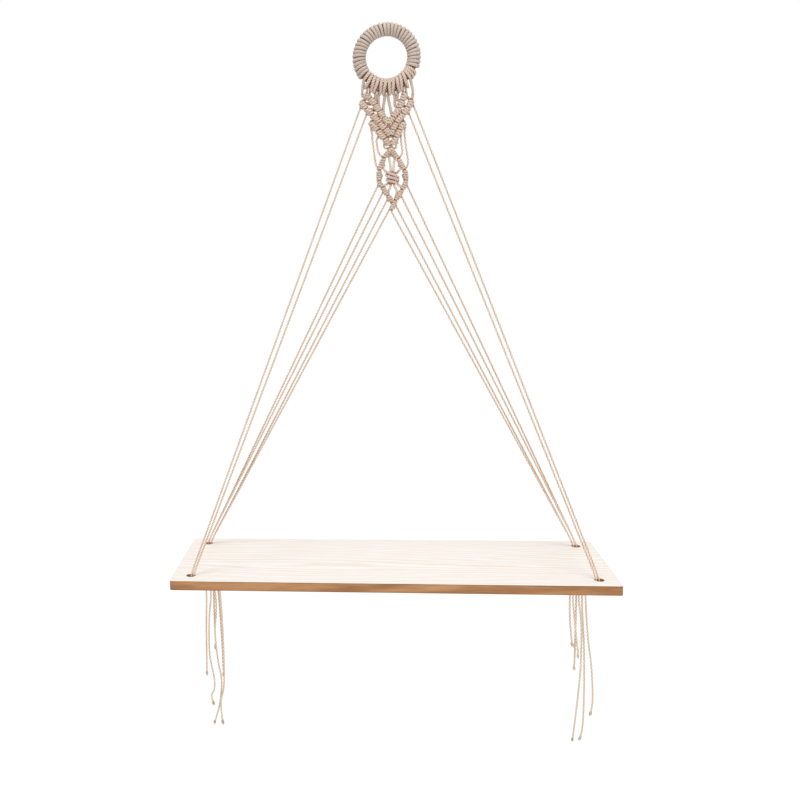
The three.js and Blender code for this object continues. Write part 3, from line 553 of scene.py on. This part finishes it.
def half_hitches(line, first, last, turns, hand, radius=knot_turn_radius, thickness=2 * knotted_radius):
    """Turns of a knotting cord round a carrying cord, in degrees from straight above it.

    It comes in behind from above, and goes back behind its turns to leave below between them."""
    entry, leaving, way_back, angle_step = 60, 150, 110, 15
    whole = 360 * turns + leaving - entry
    count = round(whole / angle_step)
    angle = entry + np.linspace(0, whole, count + 1)
    back_way = np.clip((angle - angle[-1] + way_back) / way_back, 0, 1)
    back_way = back_way * back_way * (3 - 2 * back_way)
    share = first + (last - first) * np.minimum((angle - entry) / (whole - way_back), 1)
    share -= back_way * (last - first) * 0.5
    centre, slope = along_line(line, share)
    above = hand * np.column_stack([-slope[:, 2], np.zeros(len(slope)), slope[:, 0]])
    turned = np.radians(angle)[:, None]
    # Fullest in its middle, so that each knot is a lump of its own, and no two quite alike
    slimmest, fuller, uneven, behind_turns = 0.92, 0.14, 0.03, 0.7
    loose = slimmest + fuller * np.sin(np.linspace(0, math.pi, count + 1))
    loose += handmade.uniform(-uneven, uneven)
    reach = (radius * loose + back_way * thickness * behind_turns)[:, None]
    return centre + reach * (np.cos(turned) * above + np.sin(turned) * np.array([0, 1, 0]))


def knots_on(line, turns, hand, first, last=0.98, *sizes):
    """One set of turns for each knotting cord of a row, side by side with a little space between."""
    place, made, space = first, [], 0.06
    for count in turns:
        share = (last - first) * count / sum(turns)
        made.append(half_hitches(line, place + space * share, place + (1 - space) * share, count, hand,
                                 *sizes))
        place += share
    return made


def mark_knots(piece, line, radius, thickness):
    """Mark the gaps between the turns for painted shade, by how near they lie to the carrying cord."""
    points, normals = mesh_points(piece.data)
    nearest = np.full(len(points), np.inf)
    # Only inside the knots: the carrying cord's free ends lie in the light
    for spot in line[len(line) // 12:-len(line) // 20:3]:
        nearest = np.minimum(nearest, np.linalg.norm(points - spot, axis=1))
    facing_front, back_depth, strand_depth_from = -0.3, 1.5, 1.2
    depth = points[:, 1]
    behind = (normals[:, 1] < facing_front) & (depth > back_depth) & (nearest < radius + thickness)
    # The strands between two rows hang behind them, half in their shade, and get half the painted shade
    half_shaded = 0.5 * ((depth > strand_depth_from) & (nearest >= radius + thickness))
    deep, shallow = radius - 0.05 * thickness, radius + 0.34 * thickness
    mark_shaded_hollows(piece.data, nearest, deep, shallow, np.maximum(behind, half_shaded), most=0.95)


rows, knots = {}, {}
for name, (turns, hand, first, corners) in chevron_rows.items():
    rows[name] = smooth_route(corners, 0.5)
    knots[name] = knots_on(rows[name], turns, hand, first)
strands = {
    "upper_left": [(hitch_strand_x(0, -1), []), (hitch_strand_x(0, 1), []),
                   (hitch_strand_x(1, -1), [(-15.3, 2.5, -56)]),
                   (hitch_strand_x(1, 1), [(-11.3, 2.5, -57), (-10.4, 2.3, -65)]),
                   (hitch_strand_x(2, -1), [(-3.6, 2.3, -58), (-5, 2.2, -69)])],
    "upper_right": [(hitch_strand_x(4, -1), []), (hitch_strand_x(3, 1), [(14.2, 2.5, -56)]),
                    (hitch_strand_x(3, -1), [(11, 2.5, -57), (11.3, 2.3, -64)]),
                    (hitch_strand_x(2, 1), [(2.6, 2.3, -57), (4.5, 2.2, -66), (6, 2.2, -74)])],
}


def below_flex(x):
    """The first bit of a strand, straight down across the line on which the panel bends."""
    return [(x, strand_depth, flex_height + 0.3), (x, strand_depth, flex_height - 1.2)]


carriers_above = {"upper_left": strand_below(leaving_angle["left"]), "upper_right": hitch_strand_x(4, 1),
                  "middle_right": strand_below(leaving_angle["right"])}
# The knots above from which a row takes its knotting cords, and the one that gives its carrying cord
feeds = {"middle_left": ("upper_left", [1, 2, 3, 4]), "middle_right": ("upper_right", [0, 1, 2, 3]),
         "lower_left": ("middle_left", [3, 4]), "lower_right": ("middle_right", [3, 4])}
carrier_feeds = {"middle_left": ("upper_left", 0), "lower_left": ("middle_left", 2),
                 "lower_right": ("middle_right", 2)}
panel_bend = ("hanger", (0, 0, -0.0755), (0, 0, -0.0835))

for name, line in rows.items():
    made = []
    if name in strands:
        for (x, way), knot in zip(strands[name], knots[name]):
            made.append(smooth_route(below_flex(x) + way + list(knot)))
    else:
        above, places = feeds[name]
        # The carrying cord of the row above comes down from its end and is knotted last
        leaving = [knots[above][i][-1] for i in places] + [rows[above][-1] + (0, 1.2, 0)]
        for start, knot in zip(leaving, knots[name]):
            towards = (start + knot[0]) / 2 + (0, 0.6, 0)
            made.append(smooth_route([start, towards, *knot]))
    if name in carriers_above:
        made.append(smooth_route(below_flex(carriers_above[name]) + [tuple(p) for p in line[8::6]]))
    else:
        above, place = carrier_feeds[name]
        start = knots[above][place][-1]
        made.append(smooth_route([start, (start + line[0]) / 2 + (0, 1, 0), *line[2::6]]))
    piece = lay_cord(f"knots_{name}", made, knotted_cotton, radius=knotted_radius)
    mark_knots(piece, line, knot_turn_radius, 2 * knotted_radius)
    # The rows that hang from the hitches are passed where the panel bends, and are fixed where they stand
    moves = ("hitches", panel_bend) if name in carriers_above else ("hanger",)
    dress_node(piece, f"chevron_{name}", "cord", *moves)


# Diamond
# Four rows of the same half hitches on slimmer, harder pulled cord. The carrying cords cross
# below the chevrons, run out and down to the side corners, and turn in again to the bottom.

diamond_turn_radius, diamond_cord_radius = 2.3, 1.7
# As for the chevrons, with the place where the last knotting cord's turns end before the carrying cord
diamond_rows = {
    "upper_left": ([5, 5, 4], -1, 0.03, 1.0, [
        (3, 0.5, -118), (5, 0.5, -122), (1, 0, -127), (-4, 0, -133), (-8, 0, -143), (-11, 0, -152),
        (-11.3, 0, -160), (-11.3, 0, -164)]),
    "upper_right": ([5, 5, 4], 1, 0.06, 1.0, [
        (7, -0.5, -117), (6, -0.5, -122), (10, 0, -129), (16, 0, -137), (20, 0, -145), (24, 0, -153),
        (25, 0, -160), (25, 0, -164)]),
    "lower_left": ([3, 4, 3], 1, 0.0, 0.9, [
        (-11.3, 0, -164), (-11, 0, -167), (-7, 0, -173), (-2, 0, -181), (3, 0, -189), (6, 1, -197)]),
    "lower_right": ([4, 5, 4], -1, 0.0, 0.95, [
        (25, 0, -164), (24, 0, -170), (20, 0, -177), (16, 0, -184), (11, 0, -191), (7, 0, -200),
        (5, -1, -206)]),
}
for name, (*making, corners) in diamond_rows.items():
    rows[f"diamond_{name}"] = smooth_route(corners, 0.5)
    knots[f"diamond_{name}"] = knots_on(rows[f"diamond_{name}"], *making, diamond_turn_radius,
                                        2 * diamond_cord_radius)

for side in ("left", "right"):
    upper, lower = f"diamond_upper_{side}", f"diamond_lower_{side}"
    # The outermost cord goes straight on from the upper row to the lower
    passing = knots[upper][2][-1]
    turned_in = [passing, (passing + knots[lower][0][0]) / 2 + (0, 1.2, 0)]
    first_below, *others_below = knots[lower]
    made = {upper: [*map(smooth_route, knots[upper]), rows[upper]],
            lower: [smooth_route([*turned_in, *first_below]), *map(smooth_route, others_below), rows[lower]]}
    for name, routes in made.items():
        piece = lay_cord(f"knots_{name}", routes, knotted_cotton, radius=diamond_cord_radius)
        mark_knots(piece, rows[name], diamond_turn_radius, 2 * diamond_cord_radius)
        dress_node(piece, name, "cord", "hanger")


# Floating cords
# Three cords a side leave the lowest chevron and hang clear until the diamond takes them in,
# nearly taut, so that their twist shows.

taut_radius = 1.3
rope_lay = 14.6
# Cotton under tension, with its plies drawn close and the light catching each of them: the knotted cord's
# cotton, painted a lighter, more orange tan as painted light
lit_taut_cotton = twisted_cotton("taut cotton rope", "#a8662a", "#d5a268", "#efd3ae", "#fdf2e2")
float_ways = {
    "left": [[(-20.3, 2, -101), (-20, 1, -108), (-17.8, 0.5, -126), (-15.2, 0.5, -143)],
             [(-14.4, 1.5, -109), (-13.6, 1, -116), (-11.8, 0.8, -126)],
             [(-4.4, 2, -115), (-3.9, 1.5, -120)]],
    "right": [[(23.8, 2, -101), (24.4, 1, -110), (26.8, 0.5, -128), (28, 0.5, -142)],
              [(18.8, 1.5, -108), (19.4, 1, -116), (20.6, 0.8, -127)],
              [(12.2, 2, -115), (12.2, 1.5, -120)]],
}
for side, ways in float_ways.items():
    for index, way in enumerate(ways):
        start = knots[f"lower_{side}"][index][-1]
        end = knots[f"diamond_upper_{side}"][2 - index][0]
        piece = lay_cord(f"floating_cord_{side}_{index + 1}", [smooth_route([start, *way, end])], lit_taut_cotton,
                         radius=1.4, lay=rope_lay, groove=0.4)
        dress_node(piece, f"float_{side}_{index + 1}", "cord", "hanger")


# Square knot
# In the diamond two cords tie a flat square knot round the two that come down from its apex,
# and all four spread again to the lower rows.

square_knot_height, square_knot_reach = -160.5, 10
square_knot_turn, square_knot_thickness = 3.4, 3.2
square_knot_ways = [
    [knots["diamond_upper_left"][0][-1], (2.6, 1.5, -134), (3.8, 0.8, -141), (4.6, 0.3, -150),
     (4.8, 0, -161), (4.2, 0, -172), (1.5, 1, -179), knots["diamond_lower_left"][2][0]],
    [knots["diamond_upper_right"][0][-1], (9.8, 1.5, -134), (9, 0.8, -141), (8.4, 0.3, -150),
     (8.2, 0, -161), (9.6, 0, -172), (12.5, 1, -179), knots["diamond_lower_right"][2][0]],
    [knots["diamond_upper_left"][1][-1], (-5, 0.5, -146), (-2, -1.8, -152), (2, -4.2, -154.5),
     (6.8, -5.2, -156.4), (11.5, -4.2, -158.4), (14.4, -0.8, -160.5), (12.5, 2.8, -162), (6.8, 4.2, -162.4),
     (1, 2.6, -162.6), (-0.8, -0.6, -163.4), (1.5, -3.6, -164.8), (6.8, -4.8, -166), (12, -3.4, -167.6),
     (14.2, -0.4, -169.8), (18.5, 0.5, -173.5), knots["diamond_lower_right"][1][0]],
    [knots["diamond_upper_right"][1][-1], (18, 0.5, -146), (15.8, -0.8, -151), (13, 2.6, -153.8),
     (6.8, 4.2, -154.6), (1, 2.8, -155), (-1, -0.4, -156.8), (1.4, -4, -159.6), (6.8, -5.4, -161.2),
     (12.2, -4.2, -163), (14.6, -0.8, -165), (12, 2.8, -166.6), (6.8, 3.8, -167), (1, 2, -168),
     (-3, 0.8, -170.5), knots["diamond_lower_left"][1][0]],
]
square_knot_routes = []
for way in square_knot_ways:
    route = smooth_route(way)
    # Slack, and so fuller, where the knot itself lies, and there greyer, without the painted light of the
    # taut cords
    fuller = 1 + 0.22 * np.exp(-((route[:, 2] - square_knot_height) / 7.5) ** 2)
    square_knot_routes.append(np.column_stack([route, fuller]))
square_knot = lay_cord("square_knot_cords", square_knot_routes, lit_taut_cotton, radius=1.7)
square_knot.data.materials.append(knotted_cotton)
for face in square_knot.data.polygons:
    height = face.center.z / millimetre - hoop_centre_height
    if abs(height - square_knot_height) < square_knot_reach:
        face.material_index = 1
knot_middle = np.array([(6.3, 0, z) for z in np.linspace(-169, -153, 20)])
mark_knots(square_knot, knot_middle, square_knot_turn, square_knot_thickness)
dress_node(square_knot, "centre_square_knot", "cord", "hanger")


# Board
# A flat planed pine plank, 600 by 200 by 12.7 mm, with its edges just eased and four 12 mm holes
# drilled 25 mm in from the edges for the ropes.

board_top = -700.0
board_thickness = 12.7
board_bottom = board_top - board_thickness
board_half_length, board_half_width = 300.0, 100.0
hole_x, hole_y, hole_radius = 275.0, 75.0, 6.0
easing = 0.8

outline = bpy.data.curves.new("board outline", "CURVE")
outline.dimensions = "2D"
outline.fill_mode = "BOTH"
corner_radius, corner_steps, hole_steps = 2.0, 4, 40
plan = []
for x_sign, y_sign, first in ((1, 1, 0), (-1, 1, 90), (-1, -1, 180), (1, -1, 270)):
    for step in range(corner_steps + 1):
        angle = math.radians(first + 90 / corner_steps * step)
        plan.append((x_sign * (board_half_length - corner_radius - easing) + corner_radius * math.cos(angle),
                     y_sign * (board_half_width - corner_radius - easing) + corner_radius * math.sin(angle)))
loops = [plan]
for x in (-hole_x, hole_x):
    for y in (-hole_y, hole_y):
        ways_round = [-2 * math.pi * i / hole_steps for i in range(hole_steps)]
        loops.append([(x + (hole_radius + easing) * math.cos(way), y + (hole_radius + easing) * math.sin(way))
                      for way in ways_round])
for loop in loops:
    spline = outline.splines.new("POLY")
    spline.points.add(len(loop) - 1)
    for spot, (x, y) in zip(spline.points, loop):
        spot.co = (x * millimetre, y * millimetre, 0, 1)
    spline.use_cyclic_u = True
outline.extrude = (board_thickness / 2 - easing) * millimetre
outline.bevel_depth = easing * millimetre
outline.bevel_resolution = 2
flat = add_object("board outline", outline)
board_mesh = bpy.data.meshes.new_from_object(flat.evaluated_get(bpy.context.evaluated_depsgraph_get()))
bpy.data.objects.remove(flat)
board_middle = hoop_centre_height + board_top - board_thickness / 2
board_mesh.transform(Matrix.Translation((0, 0, board_middle * millimetre)))
board = add_object("pine_board", board_mesh)

# Planed pine: growth rings cut flat give faint orange lines some 9 mm apart along the plank on cream wood,
# painted near-white on the top with the light from above; the sawn and sanded edges are tan, painted darker
# with their shade
pine, tree = new_finish("planed pine")
place = add_node(tree, "TexCoord").outputs["Object"]
ring_stretch, pore_stretch = 0.12, 0.05
ring_gap, bend_width, ripple_width, pore_width = 0.009, 0.11, 0.022, 0.0011
bend_depth, ripple_depth, ring_part, pore_part = 0.09, 0.018, 0.4, 0.8
stretched = add_node(tree, "Mapping", {"Vector": place, "Scale": (ring_stretch, 1.0, 1.0)})
bend = add_node(tree, "TexNoise", {"Vector": stretched, "Scale": 1 / bend_width, "Detail": 1})
ripple = add_node(tree, "TexNoise", {"Vector": stretched, "Scale": 1 / ripple_width, "Detail": 2})
across = add_node(tree, "SeparateXYZ", {0: stretched}).outputs["Y"]
for pattern, part in ((bend, bend_depth), (ripple, ripple_depth)):
    across = add_node(tree, "Math", {0: pattern, 1: part, 2: across}, operation="MULTIPLY_ADD")
rings = add_node(tree, "Math", {0: across, 1: 2 * math.pi / ring_gap}, operation="MULTIPLY")
rings = add_node(tree, "Math", {0: rings}, operation="SINE")
strength = add_node(tree, "Math", {0: ripple, 1: ring_part}, operation="MULTIPLY")
rings = add_node(tree, "Math", {0: rings, 1: strength}, operation="MULTIPLY")
fine = add_node(tree, "Mapping", {"Vector": place, "Scale": (pore_stretch, 1.0, 1.0)})
pores = add_node(tree, "TexNoise", {"Vector": fine, "Scale": 1 / pore_width, "Detail": 3})
grain = add_node(tree, "Math", {0: pores, 1: pore_part, 2: rings}, operation="MULTIPLY_ADD")
lit_top_colour = colour_steps(tree, grain, [(0.2, "#faf8f5"), (0.85, "#f0dcc6"), (0.5, "#f7f3ee")])
shaded_edge_colour = colour_steps(tree, grain, [(0.15, "#c18f63"), (0.8, "#8f5c32"), (0.45, "#ab784f")])
# The eased arrises and the rims of the holes are drawn darker than the edges
darker_arris = colour_steps(tree, grain, [(0.15, "#9c6634"), (0.8, "#6f4117")])
facing = add_node(tree, "NewGeometry").outputs["Normal"]
upright = add_node(tree, "SeparateXYZ", {0: facing}).outputs["Z"]
upright = add_node(tree, "Math", {0: upright}, operation="ABSOLUTE")
wood_colour = shaded_edge_colour
for colour, begins, whole in ((darker_arris, 0.08, 0.3), (lit_top_colour, 0.8, 0.97)):
    share = add_node(tree, "MapRange", {"Value": upright, "From Min": begins, "From Max": whole})
    wood_colour = add_node(tree, "Mix", {0: share, 6: wood_colour, 7: colour}, data_type="RGBA").outputs[2]
relief = add_node(tree, "Bump", {"Height": grain, "Strength": 0.12, "Distance": 0.0003})
planed = add_node(tree, "BsdfPrincipled", {"Base Color": wood_colour, "Roughness": 0.55,
                                           "Normal": relief, "Specular IOR Level": 0.35})
add_node(tree, "OutputMaterial", {"Surface": planed})
board_mesh.materials.clear()
board_mesh.materials.append(pine)
dress_node(board, "board", "pine", "hanger")


# Ropes
# The twelve strands leave the knots as taut ropes, shown 2.6 mm over their plies: two a side run to
# the board's front holes and four a side to its back holes, and turn down through them.

outward = {"left": -1, "right": 1}
rope_starts = {
    "front_left": [knots["middle_left"][0][-1], knots["middle_left"][1][-1]],
    "front_right": [knots["middle_right"][0][-1], knots["middle_right"][1][-1]],
    "back_left": [*[knot[-1] for knot in knots["diamond_lower_left"]], rows["diamond_lower_left"][-1]],
    "back_right": [*[knot[-1] for knot in knots["diamond_lower_right"]], rows["diamond_lower_right"][-1]],
}
# Pulled inwards, the ropes bear on the inner rim of their hole: across and deep from its centre
rope_lanes = {"front": [(-0.5, 0), (-4.0, 0)],
              "back": [(0.7, 1.85), (0.7, -1.85), (-3.6, 1.85), (-3.6, -1.85)]}
# How far above the board's underside they end, where under-runs and stopper knots go on
rope_ends = {"front": 1.9, "back": -1.0}
taut_laid = {"radius": taut_radius, "lay": rope_lay, "step": 1.0, "groove": 0.4, "unevenness": 0.08}

for place_name, starts in rope_starts.items():
    row, side = place_name.split("_")
    sign = outward[side]
    for index, start in enumerate(starts):
        across, deep = rope_lanes[row][index]
        x, y = sign * (hole_x + across), (-hole_y if row == "front" else hole_y) + deep
        rim = np.array([x, y, board_top + 1.2])
        corners = [start, *(start + (rim - start) * share for share in np.linspace(0.02, 0.99, 10)),
                   (x, y, board_top - 1), (x, y, board_top - 5), (x, y, board_bottom + rope_ends[row])]
        name = f"rope_{row}_{side}_{index + 1}"
        rope = lay_cord(f"{name}_laid", [smooth_route(corners, 1.0)], lit_taut_cotton, **taut_laid)
        dress_node(rope, name, "rope", "hanger")


# Under-runs
# The two front ropes of a side come out below the board and run back along it to the knot under
# the back hole.

knot_x = {"left": -272.0, "right": 278.0}
under_height = board_bottom - 1.9
for side, sign in outward.items():
    for index in range(2):
        x = sign * (hole_x + rope_lanes["front"][index][0])
        # Out of the front hole, round its rim and back below the board, with a slight sag
        route = smooth_route([(x, y, under_height + above) for y, above in (
            (-hole_y, 4.5), (-hole_y, 1.6), (-hole_y + 1.6, 0), (-hole_y + 6, -0.2), (0, -0.5),
            (hole_y - 14, -0.4), (hole_y - 7, -1))], 1.0)
        name = f"under_run_{side}_{index + 1}"
        dress_node(lay_cord(f"{name}_laid", [route], lit_taut_cotton, **taut_laid), name, "rope", "hanger")


# Stopper knots
# Under each back hole all six ropes of that side are tied together in one overhand knot, drawn
# up against the board so that they can't slip through.

rope_count = 6
middle_place = (rope_count - 1) / 2
stopper_unit = 3.15
bundle_radius = 2.9
# How far the six cords turn round each other within the knot
knot_twist = 1.4 * math.pi
stopper_middle = board_bottom - 15.5
tail_pitch = 4.1
tail_top = -745.2
# The part of the knot's loop that is left open where the cords come in and go out, in radians
half_opening = 0.42
for side, sign in outward.items():
    # An overhand knot is a trefoil, here drawn taller than it is wide
    turns = np.linspace(-math.pi + half_opening, math.pi - half_opening, 46)
    across = (np.cos(turns) - 2 * np.cos(2 * turns) + 0.6) * stopper_unit
    down = (np.sin(turns) + 2 * np.sin(2 * turns)) * stopper_unit
    deep = -np.sin(3 * turns) * stopper_unit * 1.15
    middle = np.column_stack([knot_x[side] + across, hole_y + deep, stopper_middle - down])
    middle = smooth_route(middle, 1.0)
    slopes = np.gradient(middle, axis=0)
    slopes /= np.linalg.norm(slopes, axis=1)[:, None]
    beside = np.cross(slopes[0], (0, 1, 0))
    besides = []
    for slope in slopes:
        beside = beside - slope * np.dot(beside, slope)
        beside = beside / np.linalg.norm(beside)
        besides.append(beside)
    besides = np.array(besides)
    throughs = np.cross(slopes, besides)
    made = []
    for index in range(rope_count):
        start_angle = 2 * math.pi * index / rope_count
        turn = start_angle + np.linspace(0, knot_twist, len(middle))
        reach = bundle_radius * (1 + 0.12 * np.sin(turn * 2 + index))
        strand = middle + (reach * np.cos(turn))[:, None] * besides
        strand += (reach * np.sin(turn))[:, None] * throughs
        # Four of the ropes come from the hole above, the other two are the under-runs
        if index < 4:
            lane_across, lane_deep = rope_lanes["back"][index]
            top = (sign * (hole_x + lane_across), hole_y + lane_deep, board_bottom + 1)
            lead = [top, (top[0] * 0.8 + strand[0][0] * 0.2, top[1], top[2] - 4)]
        else:
            x = sign * (hole_x + rope_lanes["front"][index - 4][0])
            lead = [(x, hole_y - 9, under_height - 0.9), (x, hole_y - 5, under_height - 2.2)]
        # Each cord leaves the knot for the tail that hangs nearest below it
        leaving_places = [bundle_radius * math.cos(2 * math.pi * i / rope_count + knot_twist)
                          for i in range(rope_count)]
        place_below = np.argsort(np.argsort(leaving_places))[index]
        below = (knot_x[side] + (place_below - middle_place) * tail_pitch, hole_y, tail_top + 1.0)
        gathering = (below[0] * 0.6 + strand[-1][0] * 0.4, below[1] - 1.5, below[2] + 4)
        made.append(smooth_route([*lead, *strand[2:-3:2], gathering, below]))
    dress_node(lay_cord(f"overhand_knot_{side}", made, lit_taut_cotton, **{**taut_laid, "radius": 1.55}),
               f"stopper_knot_{side}", "rope", "hanger")


# Loose ends
# Below its knot each rope hangs loose and limp, a 3.2 mm cord drawn 3 mm over the crests of its
# plies. They were cut to uneven lengths and left bare, and their ends have come apart into yarns.

# The slack plies stand out more. Their real twist of 11 mm is too fine to show, and is drawn as 17 mm
slack_laid = {**taut_laid, "radius": 1.5, "lay": 17.0, "groove": 0.43}
# Painted paler than the taut ropes, as painted light against the shade that the board casts on the loose ends
lit_slack_cotton = twisted_cotton("slack cotton rope", "#c48a4a", "#eec08c", "#fff0da", "#fffcf3")
# Loose cotton yarn, paler than the cord because no ply shades the next
loose_yarn = twisted_cotton("loose cotton yarn", "#e9bf88", "#f5d3a4", "#ffe9c9", "#fff6e2")
# The last millimetres of each route, as whole millimetre steps, are loose yarn
frayed_length = 6
yarn_count = 16
# From each tail's top, in millimetres
tail_routes = {
    "left": [
        [(1, 3, -33), (-1, 4, -97), (-2, 4, -168)],
        [(5, -4, -33), (2, -6, -70), (1, -6, -131), (7, -5, -171), (6, -5, -188), (2, -5, -196),
         (5, -5, -212)],
        [(3, 8, -33), (3, 10, -80), (4, 10, -128)],
        [(4, 0, -54), (1, 0, -97), (5, 0, -147), (9, 0, -171), (6, -1, -210), (-4, -1, -245)],
        [(3, 4, -33), (6, 5, -97), (8, 5, -170)],
        [(3, -4, -33), (6, -5, -107), (5, -5, -182), (0, -5, -207), (2, -5, -243)],
    ],
    "right": [
        [(0, 3, -36), (1, 4, -71), (5, 4, -112)],
        [(-1, -5, -34), (2, -7, -71), (8, -7, -125)],
        [(2, 7, -48), (2, 9, -96), (1, 9, -150)],
        [(0, -1, -34), (4, -2, -74), (4, -2, -141), (1, -2, -183), (-5, -2, -243), (-7, -2, -258)],
        [(2, 3, -50), (6, 5, -114), (7, 5, -178), (5, 5, -243), (1, 5, -259)],
        [(1, -4, -33), (5, -5, -92), (11, -6, -142), (13, -6, -194), (10, -6, -214)],
    ],
}
for side, routes in tail_routes.items():
    for index, offsets in enumerate(routes):
        top = np.array([knot_x[side] + (index - middle_place) * tail_pitch, hole_y, tail_top])
        line = smooth_route(np.vstack([top, top + np.array(offsets)]), 1.0)[:-frayed_length]
        to_end = np.cumsum(np.linalg.norm(np.diff(line, axis=0), axis=1)[::-1])[::-1]
        # It swells where its plies loosen and thins where they come apart
        narrowing = np.interp(np.r_[to_end, 0], [0, 2.5, 6], [0.75, 1.05, 1])
        tail = lay_cord(f"loose_end_{side}_{index + 1}", [np.column_stack([line, narrowing])], lit_slack_cotton,
                        **slack_laid)
        dress_node(tail, f"tail_{side}_{index + 1}", "rope", f"{side}_tassel")
        end, direction = line[-1], line[-1] - line[-4]
        direction = direction / np.linalg.norm(direction)
        # Each yarn comes out of the cord's end, bellies outwards and thins to its tip
        yarns = []
        for yarn in range(yarn_count):
            angle = handmade.uniform(0, 2 * math.pi)
            sideways = np.array([math.cos(angle), math.sin(angle), 0])
            root = end - direction * 2.2 + sideways * handmade.uniform(0.2, 1.0)
            reach, belly, spread = [handmade.uniform(*limits) for limits in ((4, 8), (0.8, 2.4), (0.1, 1.8))]
            tip = end + direction * reach + sideways * spread
            swelling = end + direction * reach * 0.35 + sideways * belly
            bent = 0.4 * swelling + 0.6 * tip + sideways * 0.2
            yarns.append(smooth_route([(*root, 1), (*swelling, 1.1), (*bent, 0.9), (*tip, 0.45)], 1.0))
        frayed = lay_cord(f"frayed_end_{side}_{index + 1}", yarns, loose_yarn, radius=0.42, lay=6.0, step=1.2,
                          groove=0.03, profile_points=6)
        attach(frayed, f"{side}_tassel")


# Room, light and camera
# A pale floor below the shelf and a white surround, one wide soft lamp above, one in front, and
# the camera where the photograph was taken from.

floor_height = -2.3
floor_mesh = bpy.data.meshes.new("floor")
corners = [(x, y, floor_height) for x, y in ((-8, -8), (8, -8), (8, 8), (-8, 8))]
floor_mesh.from_pydata(corners, [], [(0, 1, 2, 3)])
floor = add_object("floor", floor_mesh)
pale, tree = new_finish("pale floor")
seen = add_node(tree, "LightPath").outputs
paper = add_node(tree, "BsdfDiffuse", {"Color": paint("#dcdcdc")})
glow = add_node(tree, "Emission", {"Color": (1, 1, 1, 1), "Strength": 0.45})
both = add_node(tree, "AddShader", {0: paper, 1: glow})
plain = add_node(tree, "MixShader", {0: seen["Is Camera Ray"], 1: paper, 2: both})
add_node(tree, "OutputMaterial", {"Surface": plain})
floor_mesh.materials.append(pale)

world = bpy.data.worlds.new("studio")
bpy.context.scene.world = world
world.use_nodes = True
tree = world.node_tree
tree.nodes.clear()
seen = add_node(tree, "LightPath").outputs
plainly = seen["Is Camera Ray"]
for ray in ("Is Glossy Ray", "Is Transmission Ray"):
    plainly = add_node(tree, "Math", {0: plainly, 1: seen[ray]}, operation="MAXIMUM")
light = add_node(tree, "Background", {"Color": (1, 1, 1, 1), "Strength": 0.8})
white = add_node(tree, "Background", {"Color": (1, 1, 1, 1), "Strength": 1.0})
surround = add_node(tree, "MixShader", {0: plainly, 1: light, 2: white})
add_node(tree, "OutputWorld", {"Surface": surround})

for name, spot, aim, size, power in (("overhead lamp", (-0.3, -0.7, 2.2), (0, 0, -0.5), 0.8, 20.0),
                                     ("front lamp", (0.5, -2.2, -0.5), (0, 0, -0.6), 1.2, 13.0)):
    lamp = bpy.data.lights.new(name, "AREA")
    lamp.shape = "DISK"
    lamp.size = size
    lamp.energy = power
    fixture = add_object(name, lamp)
    fixture.location = spot
    fixture.rotation_euler = (Vector(aim) - Vector(spot)).to_track_quat("-Z", "Y").to_euler()

# Fitted to the board's corners and holes and to the hoop in the photograph, in metres and radians
camera_place = (-0.024907, -1.365782, -0.28599)
pitch, yaw, roll = -0.11113, -0.09326, -0.01963
ahead = Vector((math.sin(yaw) * math.cos(pitch), math.cos(yaw) * math.cos(pitch), math.sin(pitch)))
right = Vector((math.cos(yaw), -math.sin(yaw), 0))
up = right.cross(ahead)
rightwards = right * math.cos(roll) + up * math.sin(roll)
upwards = up * math.cos(roll) - right * math.sin(roll)
lens = bpy.data.cameras.new("photograph")
lens.sensor_width = 36
lens.lens = 43.963
lens.shift_x, lens.shift_y = 0.15, -0.05
lens.clip_start, lens.clip_end = 0.05, 50
camera = add_object("photograph", lens)
camera.matrix_world = Matrix((
    (rightwards.x, upwards.x, -ahead.x, camera_place[0]),
    (rightwards.y, upwards.y, -ahead.y, camera_place[1]),
    (rightwards.z, upwards.z, -ahead.z, camera_place[2]),
    (0, 0, 0, 1),
))
bpy.context.scene.camera = camera
bpy.context.scene.view_settings.view_transform = "Standard"

bpy.context.view_layer.update()
